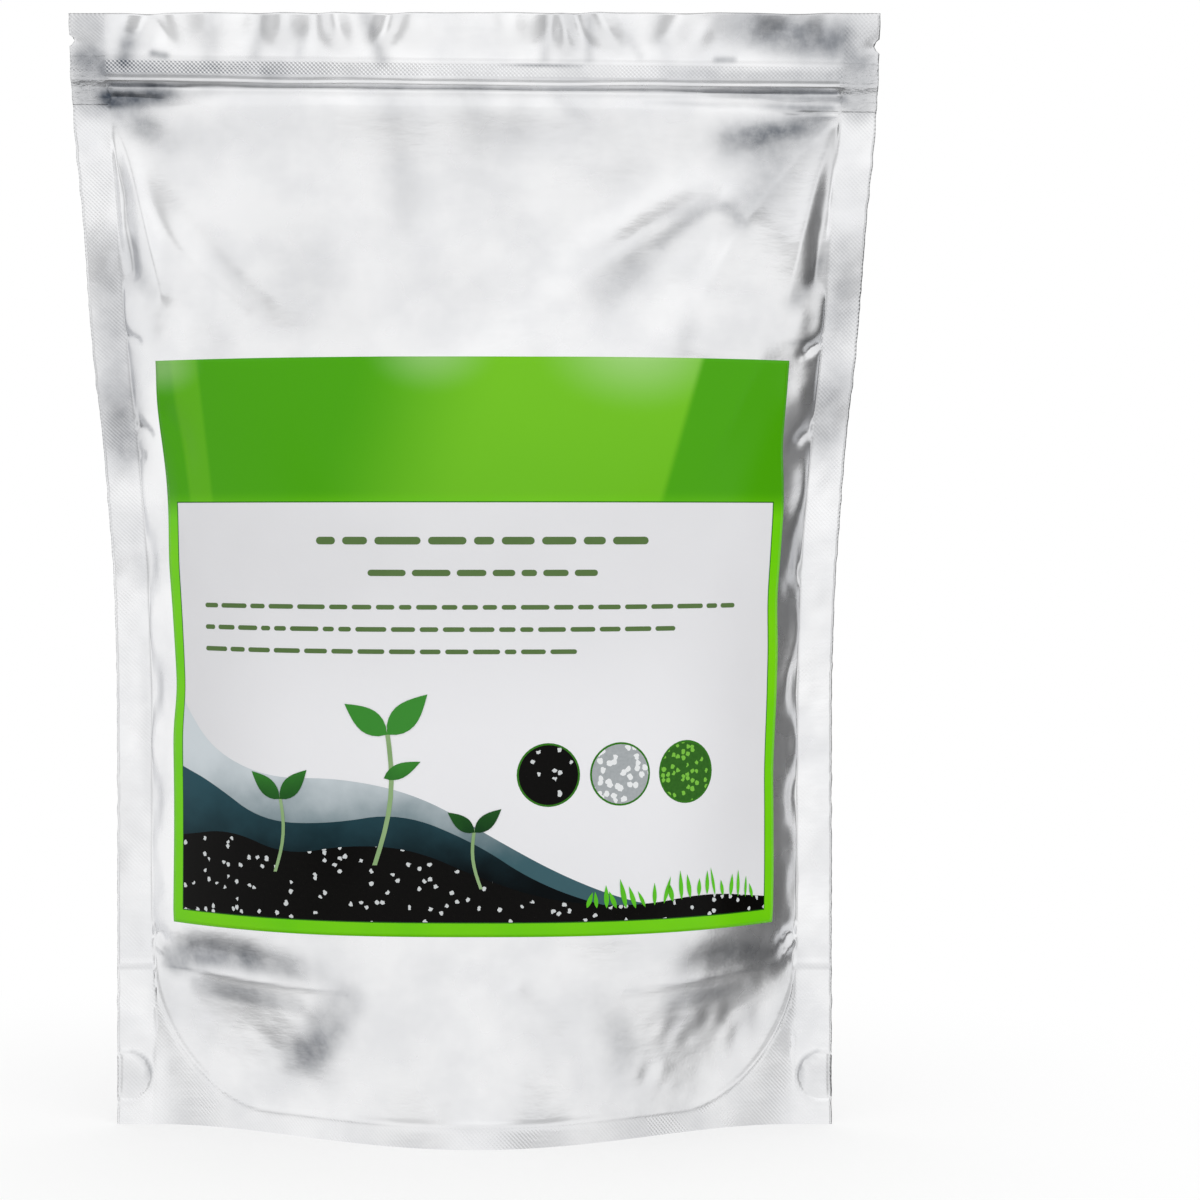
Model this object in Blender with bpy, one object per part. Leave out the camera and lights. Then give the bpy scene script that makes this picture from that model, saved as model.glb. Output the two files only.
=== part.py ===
"""Compost bag: a filled stand-up pouch of silver foil film with a label stuck on its front.

The pouch has a mouth of two loose lips, a press-to-close zip below it, welded side bands with tear notches,
a bulging body, and a folded base film that stands on the ground in the middle and rises to a tent at each end.
Everything is in metres, +Z is up and the front faces -Y. The origin is on the ground under the middle of the bag.
"""

import math

import bmesh
import bpy
import numpy as np
from mathutils import Matrix

# Film and welds
FILM_WIDTH = 0.254  # the empty pouch, edge to edge
BAG_HEIGHT = 0.347  # standing
SIDE_SEAL = 0.011  # width of the weld down each side
SEAL_THICKNESS = 0.0012  # both films; real film is thinner
GUSSET_HEIGHT = 0.050  # the fold of the base film, above the ground
BASE_SEAL = 0.007  # height of the curved base weld at the middle of the front and back

# How the filling pushes the film out, measured from the plane of the side welds
BASE_DEPTH = 0.039
BELLY_DEPTH = 0.047
BELLY_HEIGHT = 0.115
BACK_SHARE = 0.94  # the back is pushed out a little less than the front
PROFILE_SQUARENESS = 2.4  # how long the belly keeps its depth on the way up
PROFILE_FALL = 0.95  # how roundly the depth runs out at the zip
BODY_SECTION = (2.6, 0.95)  # squareness and fall of the section across the filled body
BASE_SECTION = (2.0, 2.2)  # the same at the ground, where the corners are pinched flat
GATHER = 0.0023  # the folds below the zip pull each side weld in by this much more
GATHER_DROP = 0.026  # where they pull most, below the zip's tape
GATHER_SPREAD = 0.035

# Mouth and zip
ZIP_DROP = 0.0150  # from the top edge to the zip's tape, at the middle
ZIP_TAPE = 0.0144  # height of the tape that is welded inside
ZIP_SLOPE = 0.010  # the zip falls a little to the right
TAPE_RELIEF = 0.0004
TAPE_STEP = 0.0010  # the film slopes down from the tape's edges over this height
BEAD_DROP = 0.0070  # from the tape's upper edge to the closed bead
BEAD_WIDTH = 0.0032
BEAD_RELIEF = 0.0013
MOUTH_OPENING = 0.0010  # each lip bows out by this much at the middle of the top edge
MOUTH_GAP = 0.0003
MOUTH_FLOOR = 0.0030  # the gap between the lips ends this far above the zip's tape
LIP_WAVE = 0.0016  # the loose lips ripple by this much each way
LIP_RIPPLES = 6.5
NOTCH_RISE = 0.0057  # tear notch above the zip's tape
NOTCH_RADIUS = 0.0016

# Round welds at the bottom corners, where front and back film meet through the base film
CORNER_WELD_RADIUS = 0.0078
CORNER_WELD_HEIGHT = 0.0150
CORNER_WELD_INSET = 0.0030  # from the side edge to the middle of the weld
CORNER_WELD_DEPTH = 0.0003

# Base
RIM_WIDTH = 0.0012
TENT_START = 0.60  # where the fold of the base film starts to rise, as a share of the half width

# Label
LABEL_WIDTH = 0.205  # round the curve of the film
LABEL_BOTTOM = 0.0645
LABEL_TOP = 0.2380
LABEL_BORDER = 0.0045
LABEL_HEADER = 0.0440
LABEL_THICKNESS = 0.0003
LABEL_GAP = 0.0003

# Mesh density
BODY_COLUMNS = 26
FLANK_COLUMNS = 4
BASE_ROWS = 5
LABEL_ROWS = 14
HEADER_ROWS = 5
SHOULDER_ROWS = 11
LIP_ROWS = 3
SECTION_STEPS = 240

CUT_OVERSHOOT = 0.005  # how far a cutter runs on outside the bag

# Worked out from the sizes above
HALF_FILM = FILM_WIDTH / 2
HALF_PANEL = HALF_FILM - SIDE_SEAL
HALF_SEAL = SEAL_THICKNESS / 2
HALF_LABEL = LABEL_WIDTH / 2
ZIP_TOP = BAG_HEIGHT - ZIP_DROP
ZIP_BOTTOM = ZIP_TOP - ZIP_TAPE
BEAD_HEIGHT = ZIP_TOP - BEAD_DROP
TINY = 1e-6

# Folds, each a path, a half width and a height outwards (a valley is negative). A path's points are shares: across
# the empty film from its middle to the side weld, and up from the ground to the zip's tape.
FRONT_FOLDS = [
    ([(0.26, 0.81), (0.48, 0.87), (0.66, 0.91), (0.81, 0.88)], 0.007, -0.0034),
    ([(0.22, 0.84), (0.43, 0.90), (0.64, 0.94), (0.84, 0.93)], 0.008, 0.0024),
    ([(0.98, 0.98), (0.88, 0.91), (0.76, 0.84)], 0.008, 0.0022),
    ([(0.95, 0.90), (0.91, 0.82)], 0.006, -0.0026),
    ([(-0.98, 0.98), (-0.93, 0.91), (-0.88, 0.82)], 0.007, 0.0024),
    ([(-0.95, 0.87), (-0.91, 0.81)], 0.006, -0.0026),
    ([(-0.90, 0.92), (-0.79, 0.84), (-0.60, 0.79)], 0.008, -0.0024),
    ([(-0.53, 0.93), (-0.31, 0.82), (-0.10, 0.82), (0.02, 0.91)], 0.011, -0.0014),
    ([(-0.99, 0.78), (-0.83, 0.77)], 0.006, -0.0034),
    ([(-0.99, 0.68), (-0.86, 0.67)], 0.007, -0.0034),
    ([(0.99, 0.77), (0.83, 0.76)], 0.006, -0.0034),
    ([(0.99, 0.67), (0.84, 0.66)], 0.007, -0.0036),
    ([(-0.91, 0.20), (-0.78, 0.16), (-0.52, 0.145)], 0.006, -0.0034),
    ([(-0.81, 0.14), (-0.50, 0.11), (-0.31, 0.07)], 0.007, -0.0022),
    ([(0.91, 0.20), (0.78, 0.16), (0.52, 0.145)], 0.006, -0.0034),
    ([(0.81, 0.14), (0.50, 0.11), (0.31, 0.07)], 0.007, -0.0022),
]
BACK_FOLDS = [
    ([(-0.97, 0.98), (-0.81, 0.90), (-0.59, 0.83)], 0.008, 0.0024),
    ([(0.97, 0.98), (0.81, 0.90), (0.59, 0.83)], 0.008, 0.0024),
    ([(-0.34, 0.91), (0.03, 0.86), (0.41, 0.91)], 0.011, -0.0022),
    ([(-0.90, 0.20), (-0.53, 0.145)], 0.007, -0.0028),
    ([(0.90, 0.20), (0.53, 0.145)], 0.007, -0.0028),
]


def smoothstep(start, end, value):
    """0 before start, 1 after end, and a smooth rise between them."""
    share = np.clip((value - start) / (end - start), 0.0, 1.0)
    return share * share * (3 - 2 * share)


# Form of the filled film


def body_depth(height):
    """How far the middle of the film stands out at this height."""
    share = np.clip((height - BELLY_HEIGHT) / (ZIP_BOTTOM - BELLY_HEIGHT), 0.0, 1.0)
    upper = BELLY_DEPTH * (1 - share**PROFILE_SQUARENESS) ** PROFILE_FALL
    lower = (BASE_DEPTH - BELLY_DEPTH) * (1 - smoothstep(0.0, BELLY_HEIGHT, height))
    return float(upper + lower)


def section_curve(height, half_chord):
    """Points (across, out) of half a section, from the middle to the side weld."""
    filled = smoothstep(0.0, 1.4 * GUSSET_HEIGHT, height)
    squareness, fall = (base + (body - base) * filled for base, body in zip(BASE_SECTION, BODY_SECTION))
    share = np.linspace(0.0, 1.0, SECTION_STEPS)
    return share * half_chord, body_depth(height) * (1 - share**squareness) ** fall


def lengths_along(across, out):
    steps = np.hypot(np.diff(across), np.diff(out))
    return np.concatenate([[0.0], np.cumsum(steps)])


def half_chord_at(height):
    """Half the way between the side welds. The film keeps its width, so a deeper section pulls the welds in.

    Below the belly the welds run straight down, because the corners take up the slack.
    """
    level = max(height, BELLY_HEIGHT)
    low, high = 0.5 * HALF_PANEL, HALF_PANEL
    for _ in range(30):
        middle = (low + high) / 2
        if lengths_along(*section_curve(level, middle))[-1] > HALF_PANEL:
            high = middle
        else:
            low = middle
    below_zip = (ZIP_BOTTOM - GATHER_DROP - height) / GATHER_SPREAD
    return low - GATHER * math.exp(-(below_zip**2))


def section_at(height, columns):
    """x and depth of the film at each column. A column is a place across the empty film."""
    across, out = section_curve(height, half_chord_at(height))
    lengths = lengths_along(across, out)
    lengths *= HALF_PANEL / lengths[-1]
    distance = np.abs(columns)
    in_panel = np.minimum(distance, HALF_PANEL)
    x = np.interp(in_panel, lengths, across) + (distance - in_panel)
    return np.sign(columns) * x, np.interp(in_panel, lengths, out)


def distance_to_path(across, up, path):
    """Distance of each point to a path of straight stretches, and its share of the way along, from 0 to 1."""
    points = np.array(path)
    lengths = np.hypot(*np.diff(points, axis=0).T)
    nearest = np.full(np.shape(across), np.inf)
    along = np.zeros(np.shape(across))
    passed = 0.0
    for start, end, length in zip(points[:-1], points[1:], lengths):
        way = (end - start) / length
        share = np.clip((across - start[0]) * way[0] + (up - start[1]) * way[1], 0.0, length)
        gap = np.hypot(across - start[0] - way[0] * share, up - start[1] - way[1] * share)
        closer = gap < nearest
        nearest = np.where(closer, gap, nearest)
        along = np.where(closer, (passed + share) / lengths.sum(), along)
        passed += length
    return nearest, along


def fold_relief(columns, height, folds):
    """All folds added up. They fade out at the zip and towards the side welds."""
    relief = np.zeros(len(columns))
    for path, half_width, rise in folds:
        points = [(across * HALF_PANEL, up * ZIP_BOTTOM) for across, up in path]
        gap, along = distance_to_path(columns, height, points)
        relief += rise * (0.35 + 0.65 * np.sin(math.pi * along)) * np.exp(-((gap / half_width) ** 2))
    below_zip = 1 - smoothstep(ZIP_BOTTOM - 0.010, ZIP_BOTTOM, height)
    return relief * below_zip * (1 - smoothstep(0.96 * HALF_PANEL, HALF_PANEL, np.abs(columns)))


def zip_relief(height):
    """The tape's flat band and the closed bead, as they show through the film."""
    tape = smoothstep(ZIP_BOTTOM - TAPE_STEP, ZIP_BOTTOM, height)
    tape *= 1 - smoothstep(ZIP_TOP, ZIP_TOP + TAPE_STEP, height)
    bead = max(1 - (2 * (height - BEAD_HEIGHT) / BEAD_WIDTH) ** 2, 0.0)
    return TAPE_RELIEF * tape + BEAD_RELIEF * math.sqrt(bead)


def mouth_share(columns, height):
    """0 at the zip and the side welds, where the lips are held, and 1 at the middle of the top edge."""
    free = smoothstep(ZIP_TOP + TAPE_STEP, BAG_HEIGHT, height)
    return free * (1 - smoothstep(0.75 * HALF_PANEL, HALF_PANEL, np.abs(columns)))


def lip_wave(columns, height):
    """The two lips ripple together."""
    turns = math.tau * columns / FILM_WIDTH
    ripples = np.sin(LIP_RIPPLES * turns + 0.7) + 0.5 * np.sin(LIP_RIPPLES * turns / 2)
    return LIP_WAVE * mouth_share(columns, height) * ripples


def film_height(columns, height):
    """Height of the film's points: the zip runs a little downhill, and the rows near it follow."""
    slant = smoothstep(LABEL_TOP, ZIP_BOTTOM, height) * (1 - smoothstep(ZIP_TOP + TAPE_STEP, BAG_HEIGHT, height))
    return height - ZIP_SLOPE * columns * slant


def film_row(height, columns, side):
    """Points of one row of the front (side -1) or the back (side 1)."""
    x, depth = section_at(height, columns)
    if side < 0:
        body = depth + fold_relief(columns, height, FRONT_FOLDS)
    else:
        body = BACK_SHARE * depth + fold_relief(columns, height, BACK_FOLDS)
    lip = MOUTH_OPENING * mouth_share(columns, height)
    out = HALF_SEAL + np.maximum(body, 0.0) + zip_relief(height) + lip
    return np.stack([x, side * out + lip_wave(columns, height), film_height(columns, height)], axis=1)


# Rows and columns of the mesh


def lip_heights():
    """Rows from the floor of the mouth's gap to the top edge. None of them runs through a tear notch."""
    above_notch = ZIP_TOP + NOTCH_RISE + 2 * NOTCH_RADIUS
    return [ZIP_TOP + MOUTH_FLOOR, *np.linspace(above_notch, BAG_HEIGHT, LIP_ROWS)]


def row_heights():
    """Every edge of the label, the zip and the base weld has a row of its own."""
    bead = (BEAD_HEIGHT - BEAD_WIDTH / 2, BEAD_HEIGHT + BEAD_WIDTH / 2)
    stretches = [
        (0.0, GUSSET_HEIGHT, BASE_ROWS),
        (GUSSET_HEIGHT, LABEL_BOTTOM, 2),
        (LABEL_BOTTOM, LABEL_BOTTOM + LABEL_BORDER, 1),
        (LABEL_BOTTOM + LABEL_BORDER, LABEL_TOP - LABEL_HEADER, LABEL_ROWS),
        (LABEL_TOP - LABEL_HEADER, LABEL_TOP, HEADER_ROWS),
        (LABEL_TOP, ZIP_BOTTOM - TAPE_STEP, SHOULDER_ROWS),
        (ZIP_BOTTOM - TAPE_STEP, ZIP_BOTTOM, 1),
        (ZIP_BOTTOM, bead[0], 1),
        (bead[0], bead[1], 4),
        (bead[1], ZIP_TOP, 1),
        (ZIP_TOP, ZIP_TOP + TAPE_STEP, 1),
    ]
    rows = [0.0]
    for low, high, count in stretches:
        rows += list(np.linspace(low, high, count + 1)[1:])
    return rows + lip_heights()


def column_places():
    """The side welds and the label's edges and borders have columns of their own."""
    inner = HALF_LABEL - LABEL_BORDER
    flank = list(np.linspace(HALF_LABEL, HALF_PANEL, FLANK_COLUMNS + 1))
    right = flank + [HALF_FILM]
    middle = list(np.linspace(-inner, inner, BODY_COLUMNS + 1))
    return np.array([-place for place in reversed(right)] + middle + right)


# The base film


def base_weld_height(columns):
    """The weld of the base film runs down from the fold at each side in a quarter circle, to a low middle."""
    radius = GUSSET_HEIGHT - BASE_SEAL
    past = np.clip((np.abs(columns) - (HALF_PANEL - radius)) / radius, 0.0, 1.0)
    return BASE_SEAL + radius * (1 - np.sqrt(1 - past**2))


def skirt_points(columns, side, share):
    """Inner face of the skirt, where the base film is welded to the front or back, this share of the way up."""
    tops = base_weld_height(columns)
    points = []
    for place, top in zip(columns, tops):
        point = film_row(share * top, np.array([place]), side)[0]
        depth = abs(point[1])
        point[1] = side * (depth - min(RIM_WIDTH, 0.3 * depth))
        points.append(point)
    return np.array(points)


def underside_rows(columns):
    """Rows of the base from the front's lower edge to the back's. The side welds stay flat on the ground."""
    position = np.abs(columns) / HALF_PANEL
    welded = position > 0.99
    lift = smoothstep(TENT_START, 0.97, position)
    rows = []
    for side, shares in ((-1, (0.0, 0.5, 1.0)), (1, (1.0, 0.5, 0.0))):
        skirt = [skirt_points(columns, side, share) for share in shares]
        edge = skirt[-1] if side < 0 else skirt[0]
        film = []
        for share, sag in ((0.72, 0.75), (0.36, 1.0)):
            row = edge.copy()
            row[:, 1] *= share
            resting = edge[:, 2] * (1 - sag)
            row[:, 2] = resting + (GUSSET_HEIGHT - resting) * lift * (1 - share)
            row[:, 2] = np.maximum(row[:, 2], edge[:, 2] * lift)
            film.append(row)
        rows += skirt + film if side < 0 else film[::-1] + skirt
        if side < 0:
            fold = edge.copy()
            fold[:, 1] = 0.0
            fold[:, 2] = GUSSET_HEIGHT * lift
            rows.append(fold)
    front_edge, back_edge = (film_row(0.0, columns, side)[welded] for side in (-1, 1))
    for number, row in enumerate(rows, start=1):
        share = number / (len(rows) + 1)
        row[welded] = front_edge * (1 - share) + back_edge * share
    return rows


# Meshes


def add_quad(shape, corners, slot=0):
    """Two triangles that always split along the first corner, so that film and label bend along the same lines."""
    first, second, third, fourth = corners
    for face in (shape.faces.new((first, second, third)), shape.faces.new((first, third, fourth))):
        face.material_index = slot


def smooth_mesh(shape, name, sharp_angle=50):
    bmesh.ops.recalc_face_normals(shape, faces=shape.faces)
    mesh = bpy.data.meshes.new(name)
    shape.to_mesh(mesh)
    shape.free()
    mesh.shade_smooth()
    mesh.set_sharp_from_angle(angle=math.radians(sharp_angle))
    return mesh


def add_object(name, mesh, materials=()):
    for material in materials:
        mesh.materials.append(material)
    part = bpy.data.objects.new(name, mesh)
    bpy.context.scene.collection.objects.link(part)
    return part


def pouch_mesh(front, underside, back):
    """One closed skin: front, base, back and mouth edge run round as rings, and the side edges close it."""
    shape = bmesh.new()
    rings = [[shape.verts.new(point) for point in row] for row in front[::-1] + underside + back]
    last = len(rings[0]) - 1
    for ring, following in zip(rings, rings[1:] + rings[:1]):
        for place in range(last):
            corners = (ring[place], following[place], following[place + 1], ring[place + 1])
            add_quad(shape, corners[1:] + corners[:1])
    count = len(front)
    for place in (0, last):
        edge = [ring[place] for ring in rings]
        front_edge = edge[count - 1 :: -1]
        back_edge = edge[-count:]
        for low in range(1, count - 1):
            shape.faces.new((front_edge[low], front_edge[low + 1], back_edge[low + 1], back_edge[low]))
        shape.faces.new(edge[count - 2 : len(edge) - count + 2])
    return smooth_mesh(shape, "pouch")


def sheet_mesh(outer, inner, name, face_slot=None):
    """A closed sheet between two grids of points. face_slot gives the material of an outer face."""
    shape = bmesh.new()
    sheets = [[[shape.verts.new(point) for point in row] for row in sheet] for sheet in (outer, inner)]
    last_row, last_place = len(outer) - 1, len(outer[0]) - 1
    for row in range(last_row):
        for place in range(last_place):
            corners = [(row, place), (row, place + 1), (row + 1, place + 1), (row + 1, place)]
            slot = face_slot(row, place) if face_slot else 0
            for sheet in sheets:
                add_quad(shape, [sheet[a][b] for a, b in corners], slot)
    rim = [(0, place) for place in range(last_place)]
    rim += [(row, last_place) for row in range(last_row)]
    rim += [(last_row, place) for place in range(last_place, 0, -1)]
    rim += [(row, 0) for row in range(last_row, 0, -1)]
    for (a, b), (c, d) in zip(rim, rim[1:] + rim[:1]):
        shape.faces.new([sheets[0][a][b], sheets[1][a][b], sheets[1][c][d], sheets[0][c][d]])
    return smooth_mesh(shape, name)


def cylinder_along_y(centre, radius, depth, sides):
    shape = bmesh.new()
    bmesh.ops.create_cone(shape, cap_ends=True, segments=sides, radius1=radius, radius2=radius, depth=depth)
    half_side = Matrix.Rotation(math.pi / sides, 3, "Z")  # keeps its corners off the bag's side edge
    bmesh.ops.rotate(shape, verts=shape.verts, matrix=Matrix.Rotation(math.radians(90), 3, "X") @ half_side)
    bmesh.ops.translate(shape, verts=shape.verts, vec=centre)
    return smooth_mesh(shape, "cutter")


def cut(target, cutter_mesh):
    """Takes the cutter out of the target. The cutter stays as a helper that isn't rendered."""
    cutter = add_object("cutter", cutter_mesh)
    cutter.hide_render = True
    cutter.display_type = "WIRE"
    cutter.parent = target
    step = target.modifiers.new("cut", "BOOLEAN")
    step.operation = "DIFFERENCE"
    step.solver = "EXACT"
    step.object = cutter


# Pieces


def principled(name, colour, metallic, roughness):
    material = bpy.data.materials.new(name)
    material.use_nodes = True
    shader = material.node_tree.nodes["Principled BSDF"]
    shader.inputs["Base Color"].default_value = (*colour, 1.0)
    shader.inputs["Metallic"].default_value = metallic
    shader.inputs["Roughness"].default_value = roughness
    material.diffuse_color = (*colour, 1.0)
    return material


def cut_mouth(pouch, columns):
    """The gap between the two lips, from above the zip to the top edge, between the side welds."""
    places = columns[np.abs(columns) < HALF_PANEL - TINY]
    heights = [*lip_heights(), BAG_HEIGHT + CUT_OVERSHOOT]
    sheets = []
    for side in (-1, 1):
        sheet = []
        for height in heights:
            level = min(height, BAG_HEIGHT)
            row = film_row(level, places, side)
            row[:, 1] -= side * (HALF_SEAL - MOUTH_GAP / 2)
            row[:, 2] += height - level
            sheet.append(row)
        sheets.append(sheet)
    cut(pouch, sheet_mesh(sheets[0], sheets[1], "mouth_gap"))


def cut_notches(pouch):
    height = ZIP_TOP + NOTCH_RISE
    for side in (-1, 1):
        edge = film_row(height, np.array([side * HALF_FILM]), -1)[0]
        length = SEAL_THICKNESS + 2 * CUT_OVERSHOOT
        cut(pouch, cylinder_along_y((edge[0], 0.0, edge[2]), NOTCH_RADIUS, length, 12))


def cut_corner_welds(pouch):
    """Shallow round marks pressed into both faces of the side welds, open at the side edge."""
    length = CORNER_WELD_DEPTH + CUT_OVERSHOOT
    for side in (-1, 1):
        edge = film_row(CORNER_WELD_HEIGHT, np.array([side * HALF_FILM]), -1)[0]
        middle = edge[0] - side * CORNER_WELD_INSET
        for face in (-1, 1):
            out = face * (HALF_SEAL - CORNER_WELD_DEPTH + length / 2)
            cut(pouch, cylinder_along_y((middle, out, edge[2]), CORNER_WELD_RADIUS, length, 24))


def make_pouch(rows, columns):
    front = [film_row(height, columns, -1) for height in rows]
    back = [film_row(height, columns, 1) for height in rows]
    foil = principled("silver_foil", (0.78, 0.79, 0.81), 1.0, 0.30)
    pouch = add_object("pouch", pouch_mesh(front, underside_rows(columns), back), [foil])
    cut_mouth(pouch, columns)
    cut_notches(pouch)
    cut_corner_welds(pouch)
    return pouch


def make_label(rows, columns):
    """A thin sheet that follows the film: the film's own points, lifted along the film's normals."""
    heights = [height for height in rows if LABEL_BOTTOM - TINY < height < LABEL_TOP + TINY]
    places = columns[np.abs(columns) < HALF_LABEL + TINY]
    film = np.array([film_row(height, places, -1) for height in heights])
    normal = np.cross(np.gradient(film, axis=1), np.gradient(film, axis=0))
    normal /= np.linalg.norm(normal, axis=2, keepdims=True)

    def field(row, place):
        if heights[row + 1] > LABEL_TOP - LABEL_HEADER + TINY:
            return 1
        return 2 if row == 0 or place in (0, len(places) - 2) else 0

    panel = principled("label_pale", (0.80, 0.80, 0.83), 0.0, 0.35)
    header = principled("label_green", (0.09, 0.40, 0.01), 0.0, 0.30)
    border = principled("label_lime", (0.15, 0.68, 0.01), 0.0, 0.30)
    outer = film + normal * (LABEL_GAP + LABEL_THICKNESS)
    mesh = sheet_mesh(outer, film + normal * LABEL_GAP, "label", field)
    return add_object("front_label", mesh, [panel, header, border])


def centre_over_origin(parts):
    """Moves the bag so that the middle of its depth is at the origin."""
    depths = [vertex.co.y for part in parts for vertex in part.data.vertices]
    for part in parts:
        part.location.y = -(min(depths) + max(depths)) / 2


def build():
    for old in list(bpy.data.objects):
        bpy.data.objects.remove(old)
    rows = row_heights()
    columns = column_places()
    centre_over_origin([make_pouch(rows, columns), make_label(rows, columns)])


build()
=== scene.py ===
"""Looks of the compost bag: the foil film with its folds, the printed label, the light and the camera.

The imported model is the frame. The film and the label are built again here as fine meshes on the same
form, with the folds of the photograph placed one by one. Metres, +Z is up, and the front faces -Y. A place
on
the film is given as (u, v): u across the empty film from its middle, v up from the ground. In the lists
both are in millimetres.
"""

import math

import bmesh
import bpy
import numpy as np
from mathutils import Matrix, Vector


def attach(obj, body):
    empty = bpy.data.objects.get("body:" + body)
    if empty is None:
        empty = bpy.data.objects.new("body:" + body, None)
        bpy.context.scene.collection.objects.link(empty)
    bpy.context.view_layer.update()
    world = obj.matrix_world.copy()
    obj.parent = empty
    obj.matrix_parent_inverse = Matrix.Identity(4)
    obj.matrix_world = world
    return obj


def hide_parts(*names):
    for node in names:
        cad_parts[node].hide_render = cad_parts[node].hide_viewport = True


MM = 0.001

# Form of the bag, as in the model
FILM_WIDTH = 0.254
BAG_HEIGHT = 0.347
SIDE_SEAL = 0.011
GUSSET_HEIGHT = 0.050
BASE_SEAL = 0.007
BASE_DEPTH = 0.039
BELLY_DEPTH = 0.047
BELLY_HEIGHT = 0.115
BACK_SHARE = 0.94
PROFILE_SQUARENESS = 2.4
PROFILE_FALL = 0.95
BODY_SECTION = (2.6, 0.95)
BASE_SECTION = (2.0, 2.2)
GATHER = 0.0023
GATHER_DROP = 0.026
GATHER_SPREAD = 0.035
ZIP_TOP = BAG_HEIGHT - 0.0150
ZIP_BOTTOM = ZIP_TOP - 0.0144
BEAD_HEIGHT = ZIP_TOP - 0.0070
ZIP_SLOPE = 0.010
NOTCH_HEIGHT = ZIP_TOP + 0.0057
NOTCH_RADIUS = 0.0016
CORNER_WELD_RADIUS = 0.0078
CORNER_WELD_HEIGHT = 0.0150
CORNER_WELD_INSET = 0.0030
TENT_START = 0.60
LABEL_WIDTH = 0.205
LABEL_BOTTOM = 0.0645
LABEL_TOP = 0.2380
LABEL_BORDER = 0.0045
LABEL_HEADER = 0.0440
HALF_FILM = FILM_WIDTH / 2
HALF_PANEL = HALF_FILM - SIDE_SEAL
HALF_LABEL = LABEL_WIDTH / 2

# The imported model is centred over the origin, so its side welds lie a little behind it
SEAL_PLANE = 0.00171

# Thinner than in the model, as the real film is
HALF_WELD = 0.0003
LIP_THICKNESS = 0.00015
LABEL_LIFT = 0.00022
PRINT_LIFT = 0.00003  # of each layer of print over the one below

# The base film: its gap to the films it is welded to, and how far its middle lies off the ground
SKIRT_GAP = 0.0004
BASE_LIFT = 0.0004

# The mouth: how far its lips stand off in the middle, and how strongly they ripple
MOUTH_BOW = 0.0009
LIP_LOOSENESS = 1.3

# Meshes: the size of their cells, or how many there are
FRONT_STEP = 0.95 * MM
BACK_STEP = 1.9 * MM
BASE_STEP = 2.0 * MM
LABEL_ROWS = 152
LABEL_COLUMNS = 150
SECTION_STEPS = 240

# The pitch of the welds' hatch, the foil where it is fresh and worn, and the dark colour of the shade
# painted on it
HATCH_PITCH = 0.0013
FOIL_BRIGHT = (0.94, 0.942, 0.95, 1)
FOIL_GREY = (0.84, 0.845, 0.86, 1)
FOIL_PAINTED_SHADE = (0.068, 0.083, 0.108, 1)

# The label's panel, in millimetres, and the painted highlights, pale spots where soft light is reflected in
# the header: across, up, reach, amount
PANEL_HALF = (HALF_LABEL - LABEL_BORDER) / MM
PANEL_BOTTOM = (LABEL_BOTTOM + LABEL_BORDER) / MM
PANEL_TOP = (LABEL_TOP - LABEL_HEADER) / MM
PANEL_LINE = 0.35
HEADER_GLARE = [
    (-13.0, 240.0, 22.0, 0.34),
    (50.0, 242.0, 34.0, 0.46),
    (-100.0, 236.0, 15.0, 0.34),
]

# The view of the photograph: at the side welds its frame is FRAME_WIDTH wide
CAMERA_DISTANCE = 0.95
EYE_HEIGHT = 0.1906
FRAME_WIDTH = 0.3749
FRAME_MIDDLE = (0.0392, 0.1637)

# Light: the level of the room that foil and gloss see, the level for everything else, and the darker and
# brighter screens in that room: azimuth, elevation, inner and outer angle in degrees, and level
ROOM_LEVEL = 0.94
FILL_LEVEL = 0.97
SCREENS = [
    (104, -8, 22, 37, 0.15),
    (-150, 0, 20, 40, 0.45),
    (-34, 0, 9, 20, 0.66),
    (36, -4, 9, 20, 0.60),
    (0, 90, 10, 26, 0.60),
    (0, -90, 24, 40, 0.26),
    (-96, -50, 10, 24, 0.40),
    (96, -50, 10, 24, 0.40),
    (-90, 10, 20, 40, 1.04),
    (22, 22, 12, 30, 1.07),
    (0, 8, 10, 24, 1.09),
]


def both_sides(path, *form):
    """A row of the tables below and its mirror image."""
    return (path, *form), ([(-u, v) for u, v in path], *form)


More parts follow.
